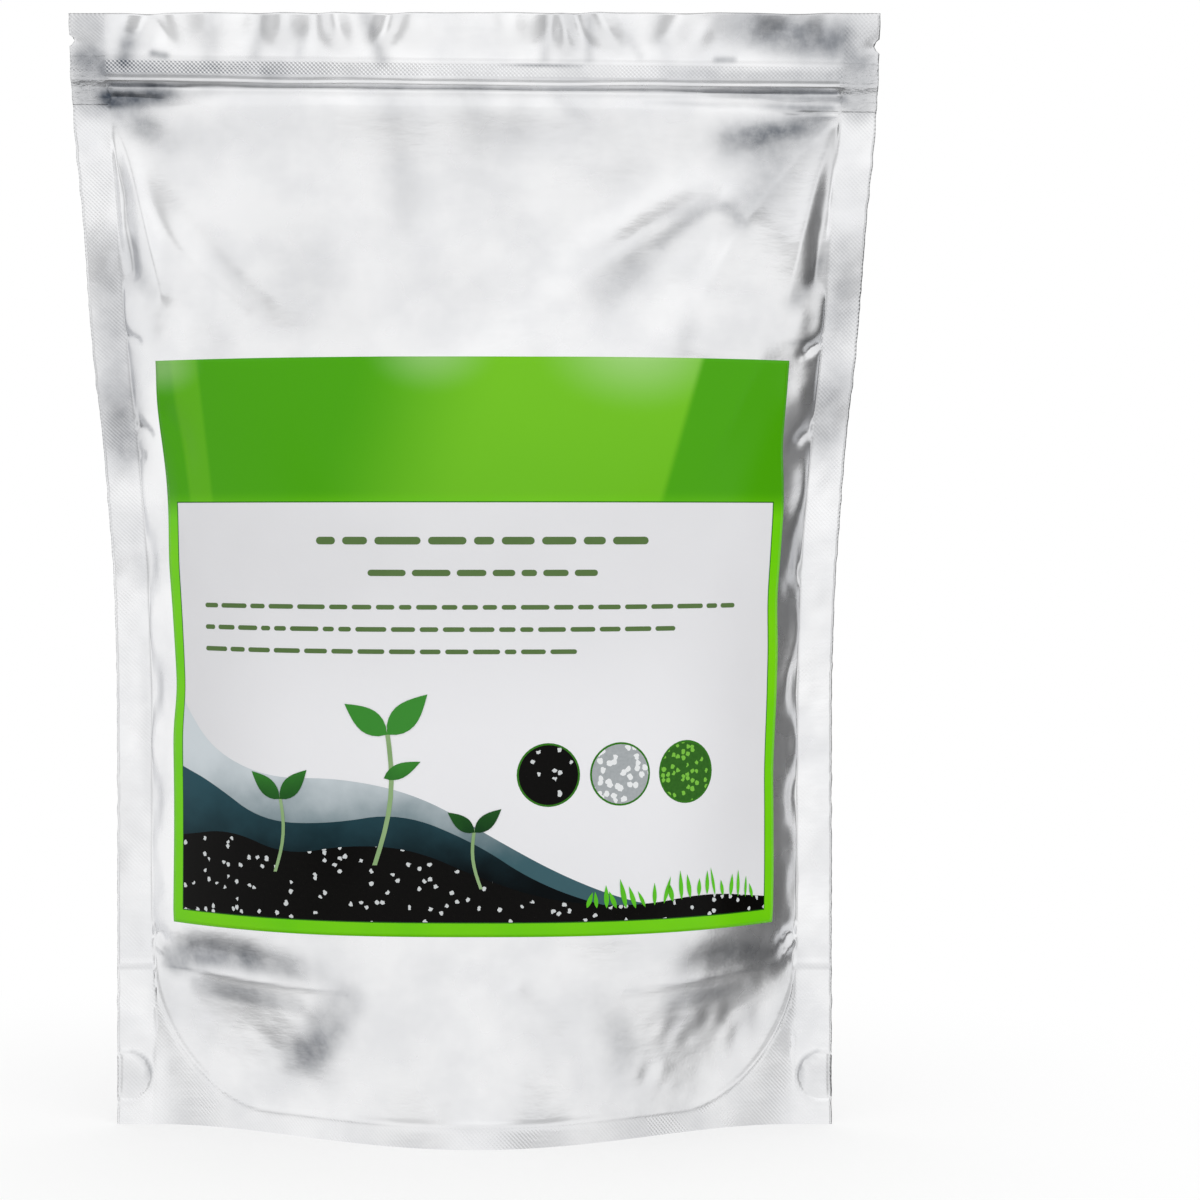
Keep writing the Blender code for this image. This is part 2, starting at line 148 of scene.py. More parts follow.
# Folds of the front: path of (u, v) points, half width, height outwards, how strong the fold is at its start
# and its end, and its sharpness, from 1, a crest. Strengths of 1 and a sharpness of 2, a soft wave, can be
# left out.
FRONT_FOLDS = [
    # the curved fold at the upper right
    ([(27, 258), (42, 269), (56, 279), (71, 288), (86, 281)], 5, -2.1, (0.25, 0.3), 1.8),
    ([(14, 262), (38, 284), (60, 297), (84, 302)], 9, 1.2, (0.2, 0.2)),
    ([(40, 250), (60, 268), (76, 276)], 6, 1.2, (0.3, 0.5)),
    ([(79, 290), (76, 276), (68, 262)], 4, -1, (0.6, 0.2), 1.6),
    # the straight crease from the zip's right end
    ([(112, 313), (97, 296), (82, 277), (64, 246)], 8, 1.9, (0.7, 0.2), 1.25),
    ([(70, 310), (88, 309), (104, 313)], 5, -1.5, (0.2, 0.7)),
    # the hollow beside each side weld, and the shoulder where it ends
    ([(-115, 309), (-114, 290), (-111.5, 266)], 3.4, -2.4, (0.3, 1)),
    ([(-113.5, 312), (-108.5, 289), (-101, 258)], 3.6, 2.3, (0.5, 0.5), 1.3),
    ([(-110, 253), (-108, 248)], 7, 1.7),
    ([(115, 309), (114, 290), (111, 264)], 3.4, -1.1, (0.3, 1)),
    ([(113.5, 312), (108, 289), (101, 258)], 3.8, 1.1, (0.5, 0.5), 1.5),
    ([(108, 252), (106, 247)], 7, 0.8),
    # pinches at the side welds
    ([(-115.7, 247), (-108, 243)], 1.5, -1.7, (1, 0.2), 1.7),
    ([(-115.7, 219), (-106, 214)], 1.8, -1.7, (1, 0.2), 1.7),
    ([(-115.7, 209), (-111, 208)], 1.4, -0.8, (1, 0.2), 1.7),
    ([(115.7, 245), (107, 240)], 1.5, -1.8, (1, 0.2), 1.7),
    ([(115.7, 218), (106, 212)], 1.9, -1.9, (1, 0.2), 1.7),
    # lobes of film between the pinches
    ([(-112, 232), (-110, 230)], 7, 1.2),
    ([(112, 231), (110, 229)], 7, 1.2),
    ([(112.5, 202), (110, 186)], 5, 1.6, (0.9, 0.3), 1.6),
    ([(112.5, 150), (111, 139)], 5, 1.5, (0.3, 0.9), 1.6),
    ([(113, 172), (109, 168)], 4, -1),
    # the left diagonal groove and the broad V beside it
    ([(-105, 289), (-92, 269), (-70, 252)], 6.5, -2, (0.2, 0.8), 1.6),
    ([(-99, 292), (-84, 273), (-66, 258)], 6.5, 1.1, (0.3, 0.9)),
    ([(-64, 300), (-46, 272), (-30, 262), (-12, 268), (2, 292)], 12, -1.3, (0.3, 0.3)),
    ([(-76, 240), (-62, 246), (-40, 243)], 6, -0.8, (0.3, 0.3)),
    # under the zip
    ([(-116, 316), (-106, 311), (-95, 304)], 4.5, -1.6, (0.6, 0.3), 1.8),
    ([(-116, 321.2), (-100, 321.2), (-86, 320.6)], 2, -1.1, (1, 0.1)),
    ([(116, 321.6), (92, 321.4), (62, 320.8)], 2.2, -1.2, (1, 0.1)),
    ([(116, 316.6), (104, 316.4), (96, 315.8)], 1.7, -1.1, (1, 0.1)),
    # between the label and the ground, left
    *both_sides([(-115.5, 61), (-108, 58.5)], 2.2, -1.9, (1, 0.4), 1.6),
    *both_sides([(-114, 56.5), (-110, 53.5)], 2.2, 1.3, (1, 0.6), 1.6),
    ([(-112, 53.5), (-100, 56.5), (-82, 56.5), (-62, 53)], 5.5, -1.5, (0.9, 0.2)),
    ([(-113, 51.5), (-92, 50), (-62, 48), (-38, 47)], 1.2, 0.45, (0.8, 0.4), 1.6),
    ([(-44, 46), (-54, 34), (-62, 24)], 6.5, -0.15, (0.6, 0.8)),
    # the same at the right, which the photograph hides
    ([(112, 53.5), (98, 57), (78, 56), (64, 52)], 5.5, -1.4, (0.9, 0.2)),
    ([(113, 51.5), (90, 50.5), (66, 48), (46, 46.5)], 1.2, 0.45, (0.8, 0.4), 1.6),
    # across the label
    ([(-101, 221), (-94, 215), (-93, 200)], 3.8, -1.2, (0.9, 0.2), 1.8),
    ([(-99, 205), (-97, 176)], 3, 0.8, (0.5, 0.2)),
    ([(92, 240), (80, 218), (70, 200)], 5, 0.8, (0.6, 0.1), 1.4),
    ([(-30, 240), (-20, 216)], 9, 0.6, (0.7, 0.2)),
    ([(14, 240), (20, 210)], 10, -0.6, (0.7, 0.2)),
]

BACK_FOLDS = [
    ([(-113, 311), (-94, 286), (-68, 258)], 8, 2.2, (0.6, 0.2), 1.4),
    ([(113, 311), (96, 288), (70, 262)], 8, 2.2, (0.6, 0.2), 1.4),
    ([(-40, 292), (-10, 272), (24, 274), (50, 292)], 12, -2, (0.3, 0.3)),
    *both_sides([(-116, 321.4), (-88, 321)], 2, -1.1, (1, 0.1)),
    ([(-115.5, 250), (-105, 246)], 2.2, -1.8, (1, 0.2), 1.7),
    ([(-115.5, 214), (-106, 216)], 2.2, -1.6, (1, 0.2), 1.7),
    ([(115.5, 236), (104, 233)], 2.2, -1.8, (1, 0.2), 1.7),
    ([(115.5, 190), (106, 187)], 2.4, -1.6, (1, 0.2), 1.7),
    *both_sides([(-108, 55), (-84, 57), (-58, 53)], 4.8, -2.5, (0.8, 0.2), 1.9),
    *both_sides([(-114, 50.5), (-84, 49), (-56, 46)], 2.4, 1.6, (0.9, 0.2), 1.5),
    ([(-10, 232), (30, 206), (46, 176)], 16, -1.6, (0.3, 0.2)),
    ([(-70, 200), (-50, 150), (-58, 110)], 18, 1.4, (0.2, 0.2)),
]

# Places where shade is painted on the foil as a darker colour: path, half width, amount, and as above
PAINTED_SHADE_PLACES = [
    # under the zip, and in the hollow below its left end
    ([(81, 309), (94, 310.5), (108, 314)], 4.6, 0.58, (0.5, 0.8)),
    ([(70, 311), (88, 305), (104, 310)], 8.5, 0.28, (0.3, 0.6)),
    ([(94, 301.5), (88, 291.5), (84, 281)], 4.5, 0.16, (0.9, 0.8)),
    ([(-115, 319.4), (-104, 319.9), (-90, 321)], 3.3, 0.8, (1, 0.05), 2.6),
    ([(-96, 320.8), (-76, 321.4)], 2, 0.18, (1, 0.1)),
    ([(64, 323.1), (96, 322), (116, 321.3)], 1.6, 0.42, (0.1, 1)),
    ([(84, 319), (113, 318.5)], 1, 0.36, (0.2, 1)),
    ([(54, 319.6), (83, 319)], 0.9, 0.16, (0.3, 0.6)),
    ([(-112, 314.5), (-105, 311), (-98, 305.5)], 5, 0.5, (0.6, 0.3)),
    ([(-98, 306), (-86, 310), (-70, 309)], 7, 0.09, (0.6, 0.3)),
    # soft grey patches of the upper panel
    ([(-26, 318), (-24, 303), (-21, 287), (-24, 268)], 6, 0.12, (1, 0.4)),
    ([(-2, 321), (2, 309), (0, 297)], 7.5, 0.2, (0.7, 0.3)),
    ([(14, 318), (12, 303)], 5, 0.12, (1, 0.3)),
    ([(-68, 280), (-58, 262), (-50, 250)], 9, 0.07, (0.4, 0.8)),
    ([(40, 316), (46, 300)], 8, 0.09, (0.8, 0.3)),
    ([(-8, 262), (4, 254)], 8, 0.05, (0.8, 0.8)),
    ([(27, 320), (35, 314)], 2.6, 0.12, (1, 0.3)),
    ([(-85, 276), (-76, 264.5), (-67, 253.5)], 3.2, 0.13, (0.3, 0.8)),
    ([(-60, 290), (-52, 270), (-37, 250)], 9, 0.07, (0.4, 0.8)),
    ([(104, 304), (94, 291), (85, 281)], 5.5, 0.2, (0.8, 0.6)),
    ([(79, 286), (86, 281)], 2, 0.22, (0.8, 0.6)),
    ([(40, 257), (48, 264), (56, 271)], 6, 0.28, (0.8, 0.5)),
    ([(58, 274), (71, 285), (81, 286.5)], 2.4, 0.3, (0.7, 0.7)),
    ([(50, 276), (61, 284), (74, 288)], 2.2, 0.2, (0.5, 0.5)),
    ([(67, 252), (64, 240)], 3.4, 0.13, (0.4, 1)),
    ([(-70, 306), (-40, 309), (-30, 300)], 7, 0.06, (0.4, 0.4)),
    # lips
    ([(80, 344), (97, 341.5), (112, 339)], 6.8, 0.68, (0.5, 1), 2.6),
    ([(76, 333.2), (81, 333.2)], 1.1, 0.4),
    ([(-108, 340), (-109, 336), (-110, 332)], 3, 0.62, (0.6, 0.9)),
    ([(-101, 333.4), (-97, 332.8)], 1.3, 0.5),
    ([(-34, 346), (-32, 340), (-29, 332)], 2.4, 0.36, (0.8, 0.9)),
    ([(-82, 346), (-83, 333)], 3.2, 0.2, (0.8, 0.8)),
    ([(-66, 346), (-69, 333)], 2.4, 0.24, (0.6, 0.9)),
    ([(-53, 342), (-55, 334)], 1.8, 0.18, (0.8, 0.8)),
    ([(22, 346), (22, 333)], 1.8, 0.24, (0.9, 0.9)),
    ([(29, 346), (29, 333)], 4, 0.15, (0.9, 0.9)),
    ([(36, 345), (36, 333)], 1.6, 0.24, (0.9, 0.9)),
    ([(46, 343), (52, 334)], 1.6, 0.16, (0.3, 0.9)),
    ([(58, 346), (59, 334)], 3.2, 0.18, (0.9, 0.6)),
    # the zip's line, the hatched strip and the crushed tape
    ([(-114, 323.5), (-30, 323.3), (50, 323.4), (114, 323.3)], 0.55, 0.42),
    ([(-10, 326.7), (60, 326.9)], 0.35, 0.22, (0.2, 0.6)),
    ([(8, 330.9), (34, 330.8)], 0.5, 0.45, (0.3, 0.3)),
    ([(-115, 328), (-62, 328.4)], 3.2, 0.42, (1, 0.5), 3),
    ([(-64, 328.4), (-20, 328.4)], 3.2, 0.26, (0.9, 0.3), 3),
    ([(-24, 328.4), (114, 328.6)], 3, 0.15, (0.5, 1), 3),
    ([(60, 328), (114, 327.6)], 2.4, 0.2, (0.3, 1), 3),
    ([(-121, 330), (-121, 319)], 6, 0.38, (1, 1), 4),
    ([(121, 330), (121, 319)], 6, 0.34, (1, 1), 4),
    ([(-121, 345), (-121, 334)], 6, 0.28, (1, 1), 4),
    ([(121, 345), (121, 336)], 6, 0.16, (1, 1), 4),
    # side welds
    ([(-121, 272), (-120, 250)], 7, 0.29, (0.6, 1)),
    ([(-121, 237), (-120, 211)], 7.4, 0.46, (0.6, 1)),
    ([(-118, 150), (-117, 98)], 2.2, 0.12, (0.5, 0.5)),
    ([(-118, 176), (-117, 170)], 3.5, 0.16),
    ([(121, 272), (120, 250)], 7.4, 0.33, (0.7, 1)),
    ([(121, 236), (120, 214)], 7, 0.36, (0.6, 1)),
    # the edge of the base weld and the round corner weld
    *both_sides([(-127, 49), (-116.5, 49.2)], 0.7, 0.14),
    *both_sides([(-122.5, 22.8), (-118.5, 20.8), (-116.3, 16.5), (-117.2, 11.5)], 0.8, 0.42, (0.5, 0.2)),
    *both_sides([(-124, 15), (-122, 14)], 5.5, 0.14, (1, 1), 4),
    # beside the welds
    ([(-113, 300), (-112, 282)], 2.2, 0.12, (0.4, 1)),
    ([(-113, 274), (-110, 266), (-105, 259)], 3.4, 0.3, (0.6, 0.6)),
    ([(113, 269), (108, 262), (104, 257)], 3.4, 0.34, (0.8, 0.8)),
    ([(100, 243), (111, 244.5)], 1, 0.3, (0.1, 1)),
    ([(110, 200), (111, 160)], 4, 0.2, (0.8, 0.8)),
    # under the label
    ([(-107, 52.5), (-94, 56.5), (-74, 56)], 5.2, 0.62, (0.8, 0.6), 3.2),
    ([(-74, 55.5), (-50, 53)], 4.8, 0.42, (0.7, 0.3), 3),
    ([(-98, 45), (-80, 43.8), (-58, 42.2)], 3.1, 0.5, (0.4, 0.4), 3.4),
    ([(-112, 50.2), (-78, 48.3), (-40, 46.4)], 0.5, 0.2, (0.8, 0.6)),
    ([(-41, 44), (-50, 35), (-55, 27)], 6.8, 0.36, (0.7, 0.9), 3.4),
    ([(-44, 33), (-62, 23.5)], 5.2, 0.3, (0.4, 0.9), 3.2),
    ([(-111, 44), (-112, 30)], 4.5, 0.1, (0.9, 0.4)),
    ([(106, 53), (91, 57), (70, 56)], 4.7, 0.52, (0.7, 0.5)),
    ([(96, 44.8), (80, 43.6), (64, 42)], 2.8, 0.38, (0.3, 0.4)),
    ([(112, 50.6), (84, 49.2), (48, 47)], 0.5, 0.18, (0.8, 0.6)),
    ([(40, 44), (48, 34), (50, 25)], 6.2, 0.28, (0.4, 0.9)),
    ([(112, 42), (112, 30)], 4.5, 0.12, (0.9, 0.4)),
]

# Ripples of the loose lips: place across, half width, height towards the front, and lean (across per up)
LIP_RIPPLES = [
    (-107, 4, -1.5, 0.25),
    (-94, 3, -0.8, -0.4),
    (-83, 5, 0.7, 0),
    (-69, 4.5, -0.8, 0.1),
    (-60, 4.5, 0.8, 0),
    (-51, 4, -0.8, 0.1),
    (-41, 3.5, 1.2, -0.2),
    (-31, 3.6, -1.5, 0.3),
    (-18, 6, 0.7, 0),
    (-2, 7, 0.5, 0),
    (12, 5, 0.8, -0.1),
    (22, 4, -1.1, 0.2),
    (30, 3, 0.8, -0.2),
    (36, 3.6, -1.3, -0.3),
    (46, 4, 1.1, -0.5),
    (57, 4.5, -0.9, 0.5),
    (67, 5, 0.8, 0.5),
    (80, 6, -0.8, -0.6),
    (97, 9, -1.6, 0.2),
    (110, 4, 0.6, 0),
]

# How far the label's left and right edges wander outwards: place up and distance
LEFT_WANDER = [
    (64, 1.9), (91, 1.1), (104, 1), (123, 1.5), (137, -0.7), (158, 0.6),
    (175, 1.7), (192, 0.6), (202, 0.6), (213, 1.5), (222, 2.5), (238, 1.6),
]
RIGHT_WANDER = [
    (64, 0.3), (80, 0.6), (100, 0.3), (111, 0), (124, 0.9), (133, 1.6), (149, 2.1),
    (164, 0.9), (178, 1.7), (191, 2.1), (200, 1.4), (211, -0.4), (238, 0),
]

# Bends of the side welds: side, place up, half length, and how far their edge and their middle come forward
WELD_BENDS = [
    (-1, 268, 13, -1.6, 0.15),
    (-1, 232, 9, 0.5, -0.25),
    (-1, 222, 9, -1.5, 0.1),
    (-1, 176, 10, -0.7, 0.1),
    (-1, 128, 12, 0.5, 0),
    (-1, 84, 10, -0.5, 0.1),
    (-1, 338, 6, -1.2, 0.2),
    (1, 262, 12, -1.7, 0.15),
    (1, 236, 7, 0.5, 0),
    (1, 222, 12, -1.4, -0.1),
    (1, 180, 10, 0.5, 0.1),
    (1, 140, 12, -0.6, 0),
    (1, 96, 9, 0.4, 0.1),
    (1, 337, 7, -1.5, 0.2),
]


def smoothstep(start, end, value):
    """0 before start, 1 after end, and a smooth rise between them."""
    share = np.clip((value - start) / (end - start), 0.0, 1.0)
    return share * share * (3 - 2 * share)


def window(start, risen, falling, end, value):
    """1 from risen to falling, 0 before start and after end, and smooth slopes between them."""
    return smoothstep(start, risen, value) * (1 - smoothstep(falling, end, value))


# Form of the filled film, as in the model


def body_depth(height):
    share = np.clip((height - BELLY_HEIGHT) / (ZIP_BOTTOM - BELLY_HEIGHT), 0.0, 1.0)
    upper = BELLY_DEPTH * (1 - share**PROFILE_SQUARENESS) ** PROFILE_FALL
    lower = (BASE_DEPTH - BELLY_DEPTH) * (1 - smoothstep(0.0, BELLY_HEIGHT, height))
    return float(upper + lower)


def section_curve(height, half_chord):
    filled = smoothstep(0.0, 1.4 * GUSSET_HEIGHT, height)
    squareness, fall = (base + (body - base) * filled for base, body in zip(BASE_SECTION, BODY_SECTION))
    share = np.linspace(0.0, 1.0, SECTION_STEPS)
    return share * half_chord, body_depth(height) * (1 - share**squareness) ** fall


def lengths_along(across, out):
    steps = np.hypot(np.diff(across), np.diff(out))
    return np.concatenate([[0.0], np.cumsum(steps)])


def half_chord_at(height):
    """Half the way between the side welds: the film keeps its width, so a deeper section pulls them in."""
    level = max(height, BELLY_HEIGHT)
    low, high = 0.5 * HALF_PANEL, HALF_PANEL
    for _ in range(24):
        middle = (low + high) / 2
        if lengths_along(*section_curve(level, middle))[-1] > HALF_PANEL:
            high = middle
        else:
            low = middle
    below_zip = (ZIP_BOTTOM - GATHER_DROP - height) / GATHER_SPREAD
    return low - GATHER * math.exp(-(below_zip**2))


CHORD_LEVELS = np.linspace(0.0, BAG_HEIGHT, 400)
HALF_CHORDS = np.array([half_chord_at(level) for level in CHORD_LEVELS])


def form_at(u, v):
    """x and depth of the plain form at arrays of u and v."""
    distance = np.abs(u)
    in_panel = np.minimum(distance, HALF_PANEL)
    x = np.empty(u.shape)
    depth = np.empty(u.shape)
    levels, rows = np.unique(np.round(v, 6), return_inverse=True)
    rows = rows.reshape(u.shape)
    for index, level in enumerate(levels):
        here = rows == index
        across, out = section_curve(level, np.interp(level, CHORD_LEVELS, HALF_CHORDS))
        lengths = lengths_along(across, out)
        lengths *= HALF_PANEL / lengths[-1]
        x[here] = np.interp(in_panel[here], lengths, across) + distance[here] - in_panel[here]
        depth[here] = np.interp(in_panel[here], lengths, out)
    return np.sign(u) * x, depth


# Relief: everything below takes grids of u and v in metres


def distance_to_path(u, v, path):
    """Distance of each point to a path, and its share of the way along, from 0 to 1."""
    points = np.array(path)
    lengths = np.hypot(*np.diff(points, axis=0).T)
    nearest = np.full(np.shape(u), np.inf)
    along = np.zeros(np.shape(u))
    passed = 0.0
    for start, end, length in zip(points[:-1], points[1:], lengths):
        way = (end - start) / length
        share = np.clip((u - start[0]) * way[0] + (v - start[1]) * way[1], 0.0, length)
        gap = np.hypot(u - start[0] - way[0] * share, v - start[1] - way[1] * share)
        closer = gap < nearest
        nearest = np.where(closer, gap, nearest)
        along = np.where(closer, (passed + share) / lengths.sum(), along)
        passed += length
    return nearest, along


def rounded_path(path, passes=2):
    """Cuts the corners of a path, so that a fold bends smoothly."""
    points = [np.array(point, float) for point in path]
    for _ in range(passes if len(points) > 2 else 0):
        cut = [points[0]]
        for start, end in zip(points[:-1], points[1:]):
            cut += [0.75 * start + 0.25 * end, 0.25 * start + 0.75 * end]
        points = cut + [points[-1]]
    return points


def bell(off, half_width, sharpness=2):
    """1 in the middle, falling to nothing on both sides."""
    return np.exp(-(np.abs(off / half_width) ** sharpness))


def full_row(path, half_width, rise, ends=(1, 1), sharpness=2):
    return rounded_path(path), half_width, rise, *ends, sharpness


def fold_relief(u, v, folds):
    relief = np.zeros(np.shape(u))
    for row in folds:
        path, half_width, rise, at_start, at_end, sharpness = full_row(*row)
        reach = half_width * (3.0 if sharpness > 1.5 else 5.0)
        (left, low), (right, high) = np.min(path, axis=0) - reach, np.max(path, axis=0) + reach
        near = (u / MM > left) & (u / MM < right) & (v / MM > low) & (v / MM < high)
        gap, along = distance_to_path(u[near] / MM, v[near] / MM, path)
        strength = at_start + (1 - at_start) * smoothstep(0.0, 0.45, along)
        strength *= at_end + (1 - at_end) * (1 - smoothstep(0.55, 1.0, along))
        relief[near] += rise * MM * strength * bell(gap, half_width, sharpness)
    return relief


def ripple_noise(u, v, size, seed, waves=14):
    """Smooth noise from about -1 to 1: a sum of waves in seeded directions, about `size` metres long."""
    random = np.random.default_rng(seed)
    total = np.zeros(np.shape(u))
    for _ in range(waves):
        angle = random.uniform(0, math.tau)
        length = size * random.uniform(0.7, 1.6)
        phase = random.uniform(0, math.tau)
        total += np.cos(math.tau * (u * math.cos(angle) + v * math.sin(angle)) / length + phase)
    return total / math.sqrt(waves)


def in_label(u, v, margin):
    """1 well inside the label, 0 outside it."""
    across = smoothstep(HALF_LABEL + margin, HALF_LABEL - margin, np.abs(u))
    up = window(LABEL_BOTTOM - margin, LABEL_BOTTOM + margin, LABEL_TOP - margin, LABEL_TOP + margin, v)
    return across * up


def zip_relief(u, v):
    """The tape's strip, the bead and its groove. Near the middle the bead is doubled by a fainter one."""
    off = v - BEAD_HEIGHT
    wander = 0.00025 * ripple_noise(u, 0 * v, 0.05, 5)
    bead = 0.0014 * bell(off - wander, 0.0012)
    second = 0.0004 * bell(off - 0.0026, 0.0007) * bell(u - 0.01, 0.045)
    groove = -0.0005 * bell(off + 0.0026, 0.0010)
    strip = 0.0003 * window(-0.0085, -0.0050, 0.0062, 0.0066, off)
    upper_edge = 0.00045 * bell(off - 0.0069, 0.0006)
    lower_edge = 0.00025 * bell(off + 0.0072, 0.0006) * smoothstep(0.080, 0.114, np.abs(u))
    return bead + second + groove + strip + upper_edge + lower_edge


def zip_shoulder(u, v):
    """Away from the ends, the filled film rounds gently into the flat zip."""
    width = 0.0017
    slope = BELLY_DEPTH * PROFILE_SQUARENESS * PROFILE_FALL / (ZIP_BOTTOM - BELLY_HEIGHT)
    rounding = slope * width * np.log1p(np.exp(-np.abs(v - ZIP_BOTTOM) / width))
    return rounding * (1 - smoothstep(0.074, 0.100, np.abs(u)))


def zip_tilt(u, v):
    """At its ends the pressed zip tilts: its bead comes forward and its lower edge goes back."""
    lean = bell(v - BEAD_HEIGHT - 0.0005, 0.0035) - bell(v - ZIP_BOTTOM + 0.0011, 0.0040)
    left = smoothstep(-0.084, -0.102, u)
    right = 0.5 * smoothstep(0.060, 0.090, u)
    return 0.0011 * lean * (left + right)


def lip_wave(u, v):
    """Ripples of the two loose lips, which grow from the zip to the top edge."""
    up = (v - ZIP_TOP) / (BAG_HEIGHT - ZIP_TOP)
    free = smoothstep(0.0, 0.75, up) * (1 - smoothstep(HALF_PANEL - 0.002, HALF_FILM, np.abs(u)))
    wave = np.zeros(np.shape(u))
    for place, half_width, rise, lean in LIP_RIPPLES:
        off = u / MM - place - lean * (v - ZIP_TOP) / MM
        wave += rise * MM * bell(off, half_width)
    return wave * free * LIP_LOOSENESS


def weld_wave(u, v):
    """Gentle bends of the stiff side welds. Both films share them."""
    past = np.clip((np.abs(u) - HALF_PANEL) / SIDE_SEAL, 0.0, 1.0)
    bend = np.zeros(np.shape(u))
    for side, middle, half_length, lean, dent in WELD_BENDS:
        here = (np.sign(u) == side) * bell(v / MM - middle, half_length)
        bend += here * MM * (lean * past + dent * np.sin(math.pi * past))
    uneven = 0.00010 * ripple_noise(0.6 * u, v, 0.022, 21) + 0.00005 * ripple_noise(u, v, 0.008, 22)
    side = smoothstep(HALF_PANEL - 0.002, HALF_PANEL + 0.003, np.abs(u))
    tape = window(ZIP_BOTTOM - 0.0008, ZIP_BOTTOM, ZIP_TOP, ZIP_TOP + 0.0008, v)
    crushed = 0.00010 * tape * ripple_noise(u, 1.6 * v, 0.0036, 31, waves=20)
    return bend + side * (uneven * smoothstep(0.0, 0.02, v) + crushed)


def base_weld_height(u):
    """The weld of the base film runs down from the fold at each side to a low middle."""
    radius = GUSSET_HEIGHT - BASE_SEAL
    past = np.clip((np.abs(u) - (HALF_PANEL - radius)) / radius, 0.0, 1.0)
    return BASE_SEAL + radius * (1 - np.sqrt(1 - 0.96 * past**2)) * 1.25


def past_base_weld(u, v):
    """How far a point lies inside the base weld, measured about square to its edge."""
    nearby = 0.1 * MM
    slope = (base_weld_height(u + nearby) - base_weld_height(u - nearby)) / (2 * nearby)
    return (base_weld_height(u) - v) / np.hypot(1.0, slope)


def weld_relief(u, v):
    """The step where the base weld starts, and the round corner weld."""
    on_side = smoothstep(HALF_PANEL - 0.0015, HALF_PANEL, np.abs(u))
    past = past_base_weld(u, v) * (1 - on_side) + (GUSSET_HEIGHT - v) * on_side
    step = -0.00025 * smoothstep(-0.0004, 0.0010, past)
    crest = 0.00030 * bell(past, 0.0007)
    from_middle = np.hypot(np.abs(u) - HALF_FILM + CORNER_WELD_INSET, v - CORNER_WELD_HEIGHT)
    ring = 0.00030 * bell(from_middle - CORNER_WELD_RADIUS, 0.0005)
    pressed = -0.00020 * (1 - smoothstep(CORNER_WELD_RADIUS - 0.001, CORNER_WELD_RADIUS, from_middle))
    return step + crest + ring + pressed


def film_texture(u, v, seed):
    """Small unevenness of the filled film: soft lumps of the filling, and fine crumples near the sides."""
    outside = 1 - 0.9 * in_label(u, v, 0.002)
    lumps = 0.00022 * ripple_noise(u, v, 0.034, seed)
    crumple = ripple_noise(u, v, 0.011, seed + 1) * ripple_noise(u, v, 0.026, seed + 2)
    edge = smoothstep(0.080, 0.112, np.abs(u)) + smoothstep(0.066, 0.040, v)
    return lumps * (0.35 + 0.65 * outside) + 0.00007 * crumple * outside * (0.3 + np.minimum(edge, 1.0))


def film_points(u, v, side):
    """Points of the front (side -1) or the back (side 1) at arrays of u and v."""
    x, depth = form_at(u, v)
    folds = FRONT_FOLDS if side < 0 else BACK_FOLDS
    share = 1.0 if side < 0 else BACK_SHARE
    in_panel = 1 - smoothstep(HALF_PANEL - 0.0012, HALF_PANEL, np.abs(u))
    free = in_panel * (1 - smoothstep(ZIP_TOP - 0.004, ZIP_TOP, v))
    relief = (fold_relief(u, v, folds) + film_texture(u, v, 100 if side < 0 else 200)) * free
    relief *= smoothstep(-0.004, 0.020, v)
    body = np.maximum(share * depth + relief, -0.0010 * in_panel * smoothstep(0.01, 0.03, v))
    zip_fade = 1 - 0.55 * smoothstep(HALF_PANEL - 0.001, HALF_PANEL + 0.002, np.abs(u))
    mouth = MOUTH_BOW * smoothstep(ZIP_TOP + 0.002, BAG_HEIGHT, v)
    mouth *= 1 - smoothstep(0.080, HALF_PANEL, np.abs(u))
    out = HALF_WELD + body + zip_relief(u, v) * zip_fade + weld_relief(u, v) + mouth + zip_shoulder(u, v)
    y = side * out - lip_wave(u, v) - weld_wave(u, v) - zip_tilt(u, v)
    lobe = 0.0009 * ripple_noise(0 * u, v, 0.026, 60 + side) * window(0.05, 0.09, 0.255, 0.290, v)
    near_weld = bell(HALF_PANEL - 0.0025 - np.abs(u), 0.0028) * in_panel
    x = x + np.sign(u) * lobe * near_weld
    notch = np.sqrt(np.clip(NOTCH_RADIUS**2 - (v - NOTCH_HEIGHT) ** 2, 0.0, None))
    ragged = 0.00010 * ripple_noise(0 * u, v, 0.006, 70)
    x = x - np.sign(u) * (notch + ragged) * smoothstep(HALF_PANEL + 0.004, HALF_FILM, np.abs(u))
    slant = window(LABEL_TOP, ZIP_BOTTOM, ZIP_TOP + 0.001, BAG_HEIGHT, v)
    z = v - ZIP_SLOPE * u * slant
    return np.stack([x, y + SEAL_PLANE, z], axis=-1)


# Meshes


def even_places(stretches):
    """Places along a line: (start, end, step) stretches, each shared out evenly."""
    places = [stretches[0][0]]
    for start, end, step in stretches:
        places += list(np.linspace(start, end, max(1, round((end - start) / step)) + 1)[1:])
    return np.array(places)


def grid_mesh(name, points, u, v, faces_out=True):
    """A mesh from a grid of points, with (u, v) in metres as its UV map."""
    rows, columns = points.shape[:2]
    index = np.arange(rows * columns).reshape(rows, columns)
    corners = [index[:-1, :-1], index[:-1, 1:], index[1:, 1:], index[1:, :-1]]
    if not faces_out:
        corners.reverse()
    faces = np.stack(corners, axis=2).reshape(-1, 4)
    mesh = bpy.data.meshes.new(name)
    mesh.from_pydata(points.reshape(-1, 3).tolist(), [], faces.tolist())
    layer = mesh.uv_layers.new(name="film")
    flat = np.stack([u.reshape(-1), v.reshape(-1)], axis=1)[faces.reshape(-1)]
    layer.data.foreach_set("uv", flat.reshape(-1))
    mesh.shade_smooth()
    return mesh


